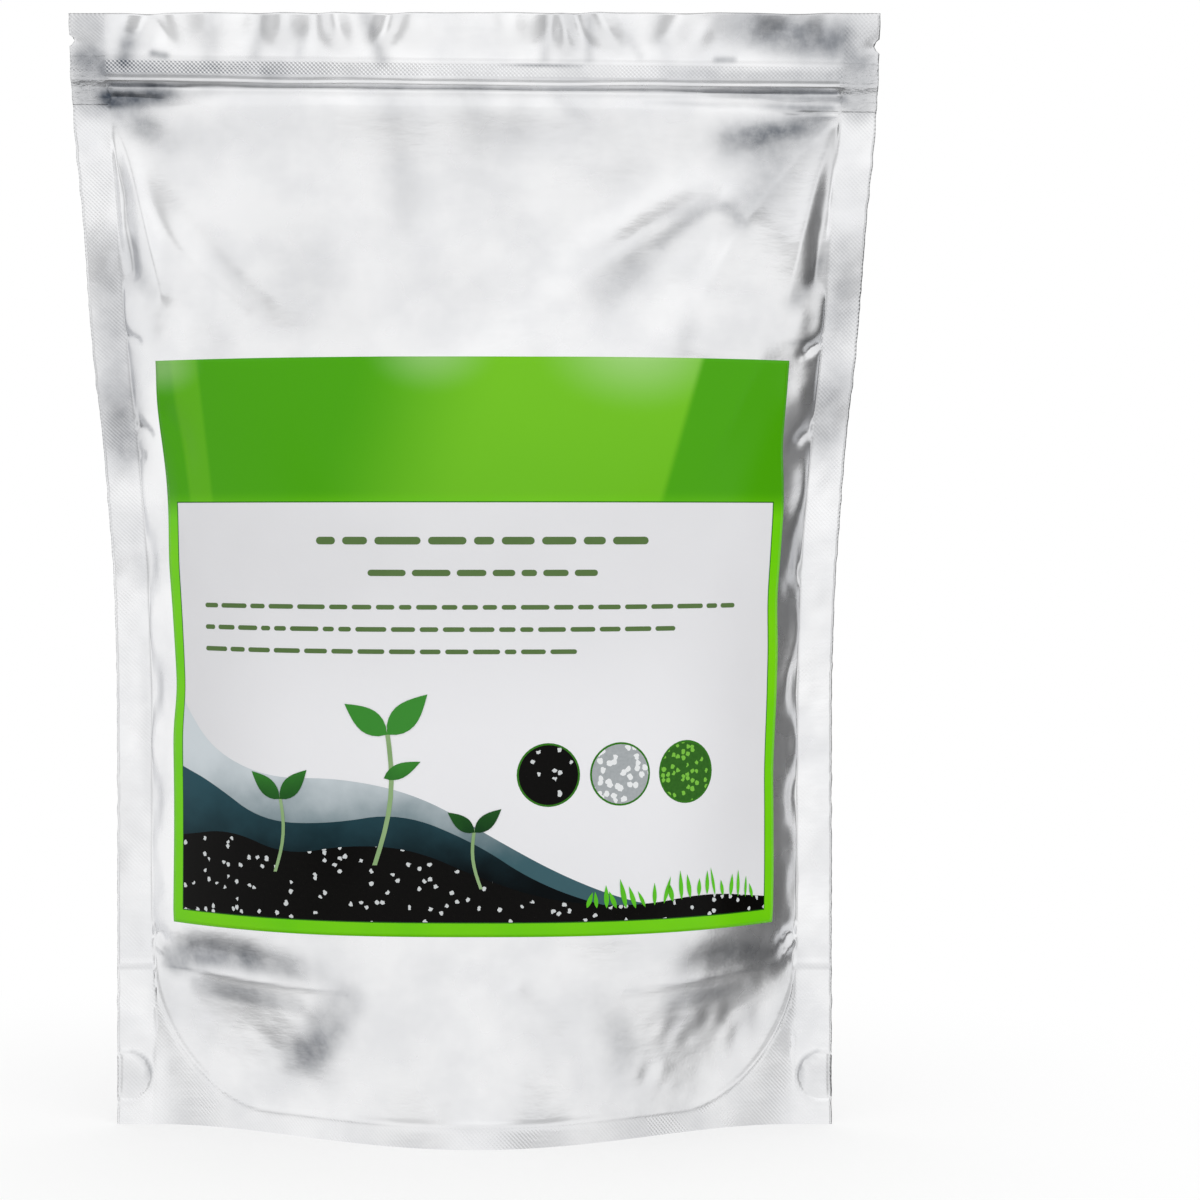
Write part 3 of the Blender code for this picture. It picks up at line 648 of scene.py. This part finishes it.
def add_mark(mesh, name, values):
    """Writes a value for each point of a grid mesh, for its material to read."""
    mark = mesh.attributes.new(name, "FLOAT", "POINT")
    mark.data.foreach_set("value", np.clip(values, 0.0, 1.0).reshape(-1).astype(np.float32))


def new_object(name, data):
    made = bpy.data.objects.new(name, data)
    bpy.context.scene.collection.objects.link(made)
    return made


def add_piece(name, mesh, material, replaced=None):
    piece = new_object(name, mesh)
    mesh.materials.append(material)
    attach(piece, "root")
    if replaced:
        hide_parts(replaced)


def film_places(step):
    """Heights and columns of a film's mesh, finer at the zip and the side welds."""
    fine = 0.5 * step
    heights = even_places([
        (0.0, 0.066, 0.95 * step),
        (0.066, 0.236, 1.45 * step),
        (0.236, ZIP_BOTTOM - 0.002, 1.1 * step),
        (ZIP_BOTTOM - 0.002, ZIP_TOP + 0.003, fine),
        (ZIP_TOP + 0.003, BAG_HEIGHT, 0.7 * step),
    ])
    half = even_places([
        (0.0, 0.096, 1.15 * step),
        (0.096, HALF_PANEL + 0.001, 0.6 * step),
        (HALF_PANEL + 0.001, HALF_FILM, step),
    ])
    return heights, np.concatenate([-half[:0:-1], half])


def add_film(name, side, step, foil):
    """One film, with the inside of its lip and with edges that turn in to meet the other film's."""
    heights, columns = film_places(step)
    u, v = np.meshgrid(columns, heights)
    points = film_points(u, v, side)
    lip_rows = np.flatnonzero(heights > ZIP_TOP + 0.002)[::-1]
    inner = points[lip_rows].copy()
    inner[:, :, 1] -= side * LIP_THICKNESS
    points = np.concatenate([points, inner])
    u = np.concatenate([u, u[lip_rows]])
    v = np.concatenate([v, v[lip_rows]])
    points = np.pad(points, ((0, 0), (1, 1), (0, 0)), mode="edge")
    u, v = (np.pad(values, ((0, 0), (1, 1)), mode="edge") for values in (u, v))
    seam = SEAL_PLANE - weld_wave(u, v) - zip_tilt(u, v)
    points[:, [0, -1], 1] = seam[:, [0, -1]]
    mesh = grid_mesh(name, points, u, v, faces_out=side < 0)
    # painted shade: how strongly the foil is darkened at each point
    add_mark(mesh, "painted_shade", fold_relief(u, v, PAINTED_SHADE_PLACES) / MM)
    past = np.where(np.abs(u) > HALF_PANEL, 0.0, past_base_weld(u, v))
    add_mark(mesh, "weld", smoothstep(0.0, 0.001, past))
    add_piece(name, mesh, foil, "pouch")


def add_base(foil):
    """The base film: welded to both skirts, lying on the ground in the middle, and a tent at each end."""
    columns = film_places(BASE_STEP)[1]
    columns = columns[np.abs(columns) < HALF_PANEL]
    weld = np.minimum(base_weld_height(columns), GUSSET_HEIGHT)
    lift = smoothstep(TENT_START, 0.97, np.abs(columns) / HALF_PANEL)
    skirts = []
    for side in (-1, 1):
        skirt = []
        for share in (0.0, 0.2, 0.4, 0.6, 0.8, 1.0):
            row = film_points(columns, np.maximum(share * weld, 0.5 * BASE_LIFT), side)
            row[:, 1] -= side * np.minimum(SKIRT_GAP, 0.4 * np.abs(row[:, 1] - SEAL_PLANE))
            skirt.append(row)
        skirts.append(skirt)
    front, back = skirts
    span = []
    for across in np.linspace(-1.0, 1.0, 29)[1:-1]:
        edge = front[-1] if across < 0 else back[-1]
        row = edge.copy()
        row[:, 1] = SEAL_PLANE + (edge[:, 1] - SEAL_PLANE) * abs(across)
        rest = BASE_LIFT + edge[:, 2] * smoothstep(0.45, 1.0, abs(across))
        fold = GUSSET_HEIGHT * (1 - abs(across)) + edge[:, 2] * abs(across)
        row[:, 2] = rest * (1 - lift) + fold * lift
        off_ground = np.minimum(1.0, row[:, 2] / 0.004)
        row[:, 2] += 0.0008 * off_ground * ripple_noise(row[:, 0], row[:, 1], 0.020, 80)
        span.append(row)
    points = np.array(front + span + back[::-1])
    u = np.tile(columns, (len(points), 1))
    v = np.tile(np.linspace(-0.10, 0.0, len(points))[:, None], (1, len(columns)))
    mesh = grid_mesh("base_film", points, u, v, faces_out=False)
    add_piece("base_film", mesh, foil, "pouch")


# Label and its print


def label_surface():
    """The label's grid on the film, with the film's outward direction at each point."""
    heights = np.linspace(LABEL_BOTTOM, LABEL_TOP, LABEL_ROWS)
    columns = np.linspace(-HALF_LABEL, HALF_LABEL, LABEL_COLUMNS)
    u, v = np.meshgrid(columns, heights)
    smooth = np.hanning(15) / np.hanning(15).sum()
    edges = []
    for table in (LEFT_WANDER, RIGHT_WANDER):
        edge = np.interp(heights / MM, *np.transpose(table)) * MM
        edges.append(np.convolve(np.pad(edge, 7, mode="edge"), smooth, "valid")[:, None])
    wander = np.where(u < 0, -edges[0], edges[1])
    points = film_points(u + wander * smoothstep(0.090, HALF_LABEL, np.abs(u)), v, -1)
    along_u = np.gradient(points, axis=1)
    along_v = np.gradient(points, axis=0)
    normals = np.cross(along_u, along_v)
    normals /= np.linalg.norm(normals, axis=2, keepdims=True)
    return heights, columns, points, normals


def on_label(surface, u, v, lift):
    """Points of the label's surface, raised by a lift, for arrays of u and v."""
    heights, columns, points, normals = surface
    raised = points + normals * lift
    row = np.interp(v, heights, np.arange(len(heights)))
    column = np.interp(u, columns, np.arange(len(columns)))
    low = np.clip(np.floor(row).astype(int), 0, len(heights) - 2)
    left = np.clip(np.floor(column).astype(int), 0, len(columns) - 2)
    up = (row - low)[:, None]
    right = (column - left)[:, None]
    lower = raised[low, left] * (1 - right) + raised[low, left + 1] * right
    upper = raised[low + 1, left] * (1 - right) + raised[low + 1, left + 1] * right
    return lower * (1 - up) + upper * up


def add_label(surface, paper):
    """The label, a little above the film. Its rim goes down to the film."""
    heights, columns, points, normals = surface
    raised = np.pad(points, ((1, 1), (1, 1), (0, 0)), mode="edge")
    raised[1:-1, 1:-1] = points + normals * LABEL_LIFT
    u, v = (np.pad(values, 1, mode="edge") for values in np.meshgrid(columns, heights))
    add_piece("label", grid_mesh("label", raised, u, v), paper, "front_label")


def add_print(name, surface, outlines, lift, ink):
    """Flat shapes of print, laid on the label. Outlines are lists of (u, v) in millimetres."""
    heights, columns = surface[:2]
    shape = bmesh.new()
    for outline in outlines:
        shape.faces.new([shape.verts.new((place * MM, level * MM, 0)) for place, level in outline])
    for normal, places in ((Vector((1, 0, 0)), columns), (Vector((0, 1, 0)), heights)):
        reach = [vertex.co.dot(normal) for vertex in shape.verts]
        for place in places[(places > min(reach)) & (places < max(reach))]:
            everything = shape.verts[:] + shape.edges[:] + shape.faces[:]
            cut = {"plane_co": normal * float(place), "plane_no": normal}
            bmesh.ops.bisect_plane(shape, geom=everything, dist=1e-7, **cut)
    bmesh.ops.triangulate(shape, faces=shape.faces[:])
    mesh = bpy.data.meshes.new(name)
    shape.to_mesh(mesh)
    shape.free()
    flat = np.array([vertex.co for vertex in mesh.vertices])
    corners = [loop.vertex_index for loop in mesh.loops]
    layer = mesh.uv_layers.new(name="film")
    layer.data.foreach_set("uv", flat[corners, :2].reshape(-1))
    placed = on_label(surface, flat[:, 0], flat[:, 1], LABEL_LIFT + lift)
    mesh.vertices.foreach_set("co", placed.reshape(-1))
    mesh.shade_smooth()
    mesh.update()
    faces_back = sum(polygon.normal.y * polygon.area for polygon in mesh.polygons) > 0
    if faces_back:
        mesh.flip_normals()
    add_piece(name, mesh, ink)


def arc(middle, radius, start, end, count):
    """Points of an arc round its middle, from one angle to another."""
    across, up = middle
    angles = np.linspace(start, end, count)
    return [(across + radius * math.cos(angle), up + radius * math.sin(angle)) for angle in angles]


def disc(middle, radius):
    return arc(middle, radius, 0, math.tau, 41)[:-1]


def bar(start, end, middle, height):
    """A bar with round ends."""
    radius, quarter = height / 2, math.tau / 4
    right = arc((end - radius, middle), radius, -quarter, quarter, 7)
    return right + arc((start + radius, middle), radius, quarter, 3 * quarter, 7)


def word_bars(start, end, middle, height, seed):
    """A line of bars that stands for a line of text."""
    random = np.random.default_rng(seed)
    bars = []
    place = start
    while place < end - 3 * height:
        length = min(height * random.uniform(2.2, 7.0), end - place)
        bars.append(bar(place, place + length, middle, height))
        place += length + 0.95 * height
    return bars


def leaf(foot, tip, width):
    """A pointed leaf from its foot to its tip."""
    foot, tip = np.array(foot, float), np.array(tip, float)
    way = tip - foot
    aside = np.array([-way[1], way[0]]) / np.hypot(*way) * width
    shares = np.linspace(0, 1, 10)
    swell = np.sin(math.pi * shares**0.8)
    one = [foot + way * share + aside * bulge for share, bulge in zip(shares, swell)]
    other = [foot + way * share - aside * bulge for share, bulge in zip(shares[-2:0:-1], swell[-2:0:-1])]
    return [tuple(point) for point in one + other]


def stem(foot, tip, bend, width):
    """A thin curved stem."""
    shares = np.linspace(0, 1, 9)
    line = []
    for share in shares:
        place = foot[0] + (tip[0] - foot[0]) * share + bend * math.sin(math.pi * share)
        line.append((place, foot[1] + (tip[1] - foot[1]) * share))
    return [(x - width, y) for x, y in line] + [(x + width, y) for x, y in reversed(line)]


def hill(levels):
    """The outline of a hill: its smoothed top, and its foot on the panel's lower edge."""
    top = [tuple(point) for point in rounded_path(levels, 3)]
    return [(levels[0][0], PANEL_BOTTOM)] + top + [(levels[-1][0], PANEL_BOTTOM)]


# Materials


class Value:
    """A number, vector or colour in a node tree. Adding or multiplying values makes the nodes for it."""

    def __init__(self, socket):
        self.socket = socket
        self.tree = socket.id_data

    def output(self, key):
        """Another output of the same node."""
        return Value(self.socket.node.outputs[key])

    def __add__(self, other):
        return maths("ADD", self, other)

    def __sub__(self, other):
        return maths("SUBTRACT", self, other)

    def __mul__(self, other):
        return maths("MULTIPLY", self, other)

    def __abs__(self):
        return maths("ABSOLUTE", self)


def give(made, inputs):
    """Gives a node its inputs: a Value is linked, and anything else is set."""
    for key, value in inputs.items():
        if isinstance(value, Value):
            value.tree.links.new(value.socket, made.inputs[key])
        else:
            made.inputs[key].default_value = value


def node(tree, kind, inputs=None, **settings):
    """A new node, as the Value of its first output."""
    made = tree.nodes.new("ShaderNode" + kind)
    for key, value in settings.items():
        setattr(made, key, value)
    give(made, inputs or {})
    return Value(made.outputs[0])


def maths(operation, *terms):
    tree = next(term.tree for term in terms if isinstance(term, Value))
    return node(tree, "Math", dict(enumerate(terms)), operation=operation)


def ramp(value, start, end, low=0.0, high=1.0):
    """A smooth rise from low to high while the value goes from start to end."""
    inputs = {"Value": value, "From Min": start, "From Max": end, "To Min": low, "To Max": high}
    return node(value.tree, "MapRange", inputs, interpolation_type="SMOOTHSTEP")


def mix_colour(share, first, second):
    """The first colour where the share is 0, and the second where it is 1."""
    # the node's inputs and outputs for colours can only be told apart by number
    return node(share.tree, "Mix", {0: share, 6: first, 7: second}, data_type="RGBA").output(2)


def noise(place, scale, detail=3.0, roughness=0.5, stretch=None):
    if stretch:
        place = node(place.tree, "VectorMath", {0: place, 1: stretch}, operation="MULTIPLY")
    inputs = {"Vector": place, "Scale": scale, "Detail": detail, "Roughness": roughness}
    return node(place.tree, "TexNoise", inputs)


def bump(height, distance, strength, onto=None):
    inputs = {"Height": height, "Distance": distance, "Strength": strength}
    if onto:
        inputs["Normal"] = onto
    return node(height.tree, "Bump", inputs)


def new_material(name):
    material = bpy.data.materials.new(name)
    material.use_nodes = True
    return material, material.node_tree, material.node_tree.nodes["Principled BSDF"]


def film_uv(tree):
    """The film's u and v in millimetres, and both as a vector."""
    uv = node(tree, "UVMap", uv_map="film")
    place = node(tree, "VectorMath", {0: uv, 3: 1 / MM}, operation="SCALE")
    parts = node(tree, "SeparateXYZ", {0: place})
    return parts, parts.output(1), place


def srgb(red, green, blue):
    """A colour from its 0 to 255 values, as Blender's linear one."""
    shares = [value / 255 for value in (red, green, blue)]
    return tuple(s / 12.92 if s <= 0.04045 else ((s + 0.055) / 1.055) ** 2.4 for s in shares) + (1.0,)


def foil_material():
    material, tree, shader = new_material("silver_foil")
    u, v, place = film_uv(tree)
    painted_shade = node(tree, "Attribute", attribute_name="painted_shade").output("Fac")
    weld = node(tree, "Attribute", attribute_name="weld").output("Fac")
    tape_bottom, tape_top, bead = ZIP_BOTTOM / MM, ZIP_TOP / MM, BEAD_HEIGHT / MM
    side = ramp(abs(u), HALF_PANEL / MM - 0.6, HALF_PANEL / MM + 0.3)
    below_tape = ramp(v, tape_bottom + 0.2, tape_bottom - 0.6)
    above_tape = ramp(v, tape_top, tape_top + 1.0)
    strip = ramp(v, bead + 1.8, bead + 2.4) * ramp(v, bead + 6.6, bead + 6.0)
    # the fine diagonal hatch of the heated jaws on the welds, and its diamonds along the zip's strip
    one, other = (maths("SINE", diagonal * (math.tau * MM / HATCH_PITCH)) for diagonal in (u + v, u - v))
    worn = ramp(noise(place, 0.05, 2.0), 0.42, 0.62, 0.25, 1.0) * ramp(v, 150.0, 230.0, 0.35, 1.0)
    on_weld = maths("MAXIMUM", side * maths("MAXIMUM", below_tape, above_tape) * worn, weld * 0.5)
    hatch = (other * 0.35 + one) * on_weld
    lines = (other * 0.6 + one) * strip * ramp(u, -60.0, 20.0, 1.9, 1.0)
    inside = side * -1.0 + 1.0
    # painted shade: the hatch's lines are darkened, most along the left end of the zip's strip
    shaded = lines * inside * ramp(u, -80.0, 0.0, 0.15, 0.06) + hatch * 0.07
    # the tape is crushed where it runs through the side welds
    tape = ramp(v, tape_bottom - 0.5, tape_bottom) * side * ramp(v, tape_top + 0.8, tape_top)
    crushed = noise(place, 1.1, 3.0, 0.6, (0.6, 1.3, 1.0)) * tape
    normal = bump(noise(place, 0.30, 3.0, 0.55, (0.35, 1.0, 1.0)), 0.00030, 0.35)
    normal = bump(noise(place, 0.9, 4.0, 0.6), 0.00004, 0.55, normal)
    normal = bump(crushed, 0.00035, 1.0, normal)
    normal = bump(hatch + lines, 0.000022, 1.0, normal)
    roughness = ramp(noise(place, 0.035), 0.3, 0.7, 0.22, 0.30) + on_weld * 0.06
    tone = mix_colour(ramp(noise(place, 0.040, 4.0), 0.32, 0.66), FOIL_GREY, FOIL_BRIGHT)
    uneven = ramp(noise(place, 0.22, 4.0, 0.6), 0.25, 0.75, 0.82, 1.16)
    # painted shade: the listed places, varied at random, and the hatch's lines darken the foil towards a
    # dark colour
    tone = mix_colour(maths("MAXIMUM", painted_shade * uneven + shaded, 0.0), tone, FOIL_PAINTED_SHADE)
    give(shader, {"Base Color": tone, "Metallic": 1.0, "Roughness": roughness, "Normal": normal})
    return material


def finish_print(shader, place, colour, coat=0.0):
    """Colour and gloss of the print. It takes a little of the unevenness of what lies under it."""
    normal = bump(noise(place, 0.8), 0.000012, 0.6, bump(noise(place, 0.10), 0.00025, 0.4))
    give(shader, {"Base Color": colour, "Normal": normal, "Roughness": 0.16, "IOR": 1.16})
    give(shader, {"Coat Weight": coat, "Coat Roughness": 0.06, "Coat IOR": 1.36})


def label_material():
    """Green header and border round a pale panel, with a dark line along the panel's edge."""
    material, tree, shader = new_material("label_print")
    u, v, place = film_uv(tree)

    def in_box(half, bottom, top):
        across = maths("LESS_THAN", abs(u), half)
        return across * maths("GREATER_THAN", v, bottom) * maths("LESS_THAN", v, top)

    panel = in_box(PANEL_HALF, PANEL_BOTTOM, PANEL_TOP)
    line = in_box(PANEL_HALF + PANEL_LINE, PANEL_BOTTOM - PANEL_LINE, PANEL_TOP + PANEL_LINE)
    # the header is a fresher green in its middle, up to a slanted edge, and in a faint band near its left
    # end: partly the print's own gradient and partly a painted reflection of soft light
    slanted = v * -0.31 + u
    left_of_slant = ramp(slanted, -1.5, -4.5)
    field = ramp(slanted, -112.0, -62.0) * left_of_slant * ramp(v, 190.0, 240.0, 0.8, 1.0)
    from_band = abs(v * 0.10 + u + 69.0)
    field = maths("MAXIMUM", field, ramp(from_band, 5.5, 3.5, 0.0, 0.42))
    header = mix_colour(field, srgb(74, 166, 0), srgb(116, 196, 28))
    # painted highlights: pale spots where soft light is reflected in the header
    for across, up, reach, amount in HEADER_GLARE:
        aside = u - across
        above = (v - up) * 1.5
        gap = maths("SQRT", aside * aside + above * above)
        share = ramp(gap, reach, 0.0, 0.0, amount) * left_of_slant
        header = mix_colour(share, header, srgb(196, 226, 170))
    border = mix_colour(noise(place, 0.03, 2.0), srgb(90, 205, 4), srgb(138, 224, 10))
    green = mix_colour(ramp(v, PANEL_TOP - 6.0, PANEL_TOP + 4.0), border, header)
    pale = mix_colour(noise(place, 0.025, 2.0), srgb(226, 226, 228), srgb(236, 236, 238))
    lower_middle = ramp(v, 176.0, 120.0) * ramp(abs(u), 92.0, 50.0)
    pale = mix_colour(lower_middle, pale, srgb(244, 244, 246))
    colour = mix_colour(panel, mix_colour(line, green, srgb(38, 104, 14)), pale)
    finish_print(shader, place, colour, coat=panel * -0.25 + 0.25)
    return material


def ink_material(name, low, high, scale=0.06):
    """One ink with a soft unevenness between two colours."""
    material, tree, shader = new_material(name)
    place = film_uv(tree)[2]
    finish_print(shader, place, mix_colour(noise(place, scale, 2.0), srgb(*low), srgb(*high)))
    return material


def shaded_material(name, low, high, bottom, top):
    """A field of print that fades from a low colour to a high one."""
    material, tree, shader = new_material(name)
    _, v, place = film_uv(tree)
    level = noise(place, 0.07, 4.0) * (0.5 * (top - bottom)) + v
    finish_print(shader, place, mix_colour(ramp(level, bottom, top), srgb(*low), srgb(*high)))
    return material


def flecked_material(name, ground, light, fleck, size, amount):
    """Printed soil: uneven ground with flecks of another colour."""
    material, tree, shader = new_material(name)
    place = film_uv(tree)[2]
    bend = node(tree, "TexNoise", {"Vector": place, "Scale": 1.1}).output("Color")
    moved = node(tree, "VectorMath", {0: place, 1: bend}, operation="ADD")
    cells = node(tree, "TexVoronoi", {"Vector": moved, "Scale": size}, voronoi_dimensions="2D")
    pick = node(tree, "SeparateColor", {0: cells.output("Color")})
    flecks = maths("LESS_THAN", pick, amount) * maths("LESS_THAN", cells.output("Distance"), 0.42)
    earth = mix_colour(noise(place, 0.9, 4.0, 0.7), srgb(*ground), srgb(*light))
    finish_print(shader, place, mix_colour(flecks, earth, srgb(*fleck)))
    return material


def add_all_print(surface):
    """The print on the panel: bars for lines of text, a garden bed with shoots, and three round samples."""

    def add(name, outlines, layer, ink):
        add_print("print_" + name, surface, outlines, layer * PRINT_LIFT, ink)

    text = ink_material("ink_text", (84, 112, 62), (98, 126, 76))
    add("heading", word_bars(-48, 53, 182.6, 2.3, 3), 1, text)
    lines = word_bars(-32, 37, 173.0, 1.9, 5)
    for end, middle, seed in ((86, 162.8, 8), (67, 156.2, 11), (36, 149.6, 14)):
        lines += word_bars(-88, end, middle, 1.4, seed)
    add("lines", lines, 1, text)

    far_top = [(-86, 119), (-64, 111), (-40, 112), (-16, 107), (6, 94), (26, 83), (46, 75), (66, 71)]
    near_top = [(-84, 108), (-66, 98), (-44, 98), (-22, 102), (0, 93), (18, 81), (40, 73), (60, 70.4)]
    soil_top = [(-78, 95), (-58, 88), (-38, 92), (-18, 91), (2, 82), (24, 75), (50, 73), (74, 76)]
    far = shaded_material("ink_far_hill", (64, 98, 106), (214, 222, 226), 94, 128)
    near = shaded_material("ink_near_hill", (0, 6, 9), (44, 80, 90), 88, 122)
    soil = flecked_material("ink_soil", (0, 0, 0), (14, 12, 10), (214, 218, 218), 0.62, 0.10)
    add("far_hill", [hill([(-PANEL_HALF, 133), *far_top])], 1, far)
    add("near_hill", [hill([(-PANEL_HALF, 113), *near_top])], 2, near)
    add("soil", [hill([(-PANEL_HALF, 92), *soil_top, (PANEL_HALF, 73)])], 3, soil)

    stems = [
        stem((-62, 83), (-60, 106), 2.0, 0.55),
        stem((-30, 86), (-26, 126), 3.0, 0.7),
        stem((2, 79), (0, 97), -1.5, 0.5),
    ]
    add("stems", stems, 4, ink_material("ink_stem", (120, 160, 96), (170, 196, 150)))
    leaves = [
        leaf((-60, 105), (-70, 113), 2.6),
        leaf((-60, 105), (-51, 114), 2.8),
        leaf((-26, 125), (-39, 134), 3.6),
        leaf((-26, 125), (-14, 137), 3.9),
        leaf((-27, 112), (-16, 117), 2.2),
        leaf((0, 96), (-8, 102), 2.1),
        leaf((0, 96), (8, 103), 2.2),
    ]
    add("leaves", leaves, 5, shaded_material("ink_leaf", (16, 52, 24), (62, 142, 52), 100, 136))

    blades = []
    random = np.random.default_rng(17)
    for place in np.arange(34.0, 95.0, 3.1):
        level = float(np.interp(place, [24, 50, 74, 98], [74, 73, 76, 73])) - 0.6
        lean = random.uniform(-2.6, 2.6)
        tip = (place + lean, level + random.uniform(4.0, 9.0))
        blades.append(leaf((place, level), tip, random.uniform(0.5, 0.9)))
    add("grass", blades, 4, ink_material("ink_grass", (74, 176, 30), (110, 214, 46), 0.2))

    centres = [(22, 113), (44, 113), (66, 113)]
    ring = ink_material("ink_ring", (44, 108, 24), (62, 130, 34))
    add("rings", [disc(centre, 9.5) for centre in centres], 1, ring)
    samples = [
        soil,
        flecked_material("ink_grains", (150, 156, 158), (190, 194, 196), (240, 242, 242), 0.45, 0.6),
        flecked_material("ink_moss", (36, 84, 26), (62, 120, 40), (126, 196, 70), 0.6, 0.35),
    ]
    for index, (centre, ink) in enumerate(zip(centres, samples)):
        add(f"sample_{index + 1}", [disc(centre, 8.9)], 2, ink)


# Studio


def add_floor():
    """A pale floor that keeps the bag's shadow and runs out into the white background."""
    half = 4.0
    mesh = bpy.data.meshes.new("floor")
    corners = [(-half, -half, 0), (half, -half, 0), (half, half, 0), (-half, half, 0)]
    mesh.from_pydata(corners, [], [(0, 1, 2, 3)])
    floor = new_object("floor", mesh)
    material, tree, shader = new_material("floor")
    camera_ray = node(tree, "LightPath").output("Is Camera Ray")
    colour = mix_colour(camera_ray, (0.62, 0.62, 0.63, 1), (0.97, 0.97, 0.97, 1))
    give(shader, {"Base Color": colour, "Roughness": 0.9, "Specular IOR Level": 0.0})
    place = node(tree, "TexCoord").output("Object")
    away = node(tree, "VectorMath", {0: place}, operation="LENGTH").output("Value")
    far = ramp(away, 0.12, 0.32, 0.50, 1.0) * camera_ray
    white = node(tree, "Emission", {"Color": (1, 1, 1, 1), "Strength": 1.0})
    blend = node(tree, "MixShader", {0: far, 1: Value(shader.outputs[0]), 2: white})
    give(tree.nodes["Material Output"], {"Surface": blend})
    mesh.materials.append(material)
    floor.visible_glossy = False


def add_world():
    """White to the camera. Foil and gloss see a pale room with darker and brighter screens in it."""
    world = bpy.data.worlds.new("studio")
    bpy.context.scene.world = world
    world.use_nodes = True
    tree = world.node_tree
    direction = node(tree, "TexCoord").output("Generated")
    room = None
    for azimuth, elevation, inner, outer, level in SCREENS:
        inputs = {0: direction, 1: toward(azimuth, elevation)}
        facing = node(tree, "VectorMath", inputs, operation="DOT_PRODUCT").output("Value")
        share = ramp(facing, math.cos(math.radians(outer)), math.cos(math.radians(inner)), 1.0, level)
        room = share if room is None else room * share
    path = node(tree, "LightPath")
    strength = node(tree, "Mix", {0: path.output("Is Glossy Ray"), 2: FILL_LEVEL, 3: room * ROOM_LEVEL})
    white = node(tree, "Mix", {0: path.output("Is Camera Ray"), 2: strength, 3: 1.0})
    give(tree.nodes["Background"], {"Strength": white, "Color": (1, 1, 1, 1)})


def toward(azimuth, elevation):
    """A direction. The azimuth turns from the front towards +X, in degrees."""
    turn, tilt = math.radians(azimuth), math.radians(elevation)
    return Vector((math.sin(turn) * math.cos(tilt), -math.cos(turn) * math.cos(tilt), math.sin(tilt)))


def add_softbox(azimuth, elevation, distance, width, height, level):
    """A soft lamp that looks at the bag. Foil and gloss see a screen in the room in its place."""
    target = Vector((0, 0, 0.2))
    way = toward(azimuth, elevation)
    lamp = bpy.data.lights.new("softbox", "AREA")
    lamp.shape = "RECTANGLE"
    lamp.size = width
    lamp.size_y = height
    lamp.energy = level * math.pi * width * height
    placed = new_object("softbox", lamp)
    placed.location = target + way * distance
    placed.rotation_euler = (-way).to_track_quat("-Z", "Y").to_euler()
    placed.visible_glossy = False


def add_camera():
    camera = bpy.data.cameras.new("camera")
    camera.lens = 36 * CAMERA_DISTANCE / FRAME_WIDTH
    camera.shift_x = FRAME_MIDDLE[0] / FRAME_WIDTH
    camera.shift_y = (FRAME_MIDDLE[1] - EYE_HEIGHT) / FRAME_WIDTH
    placed = new_object("camera", camera)
    placed.location = (0, SEAL_PLANE - CAMERA_DISTANCE, EYE_HEIGHT)
    placed.rotation_euler = (math.pi / 2, 0, 0)
    bpy.context.scene.camera = placed


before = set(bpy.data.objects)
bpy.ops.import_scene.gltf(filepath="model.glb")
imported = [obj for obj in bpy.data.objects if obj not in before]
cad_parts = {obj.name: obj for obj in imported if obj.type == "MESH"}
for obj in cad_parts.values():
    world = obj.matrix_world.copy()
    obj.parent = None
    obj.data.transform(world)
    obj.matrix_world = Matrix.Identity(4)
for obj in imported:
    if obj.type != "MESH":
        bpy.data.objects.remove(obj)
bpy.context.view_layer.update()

foil = foil_material()
add_film("front_film", -1, FRONT_STEP, foil)
add_film("back_film", 1, BACK_STEP, foil)
add_base(foil)
surface = label_surface()
add_label(surface, label_material())
add_all_print(surface)

add_floor()
add_world()
add_softbox(azimuth=24, elevation=24, distance=1.6, width=1.8, height=0.55, level=1.04)
add_camera()

bpy.context.scene.view_settings.view_transform = "Standard"
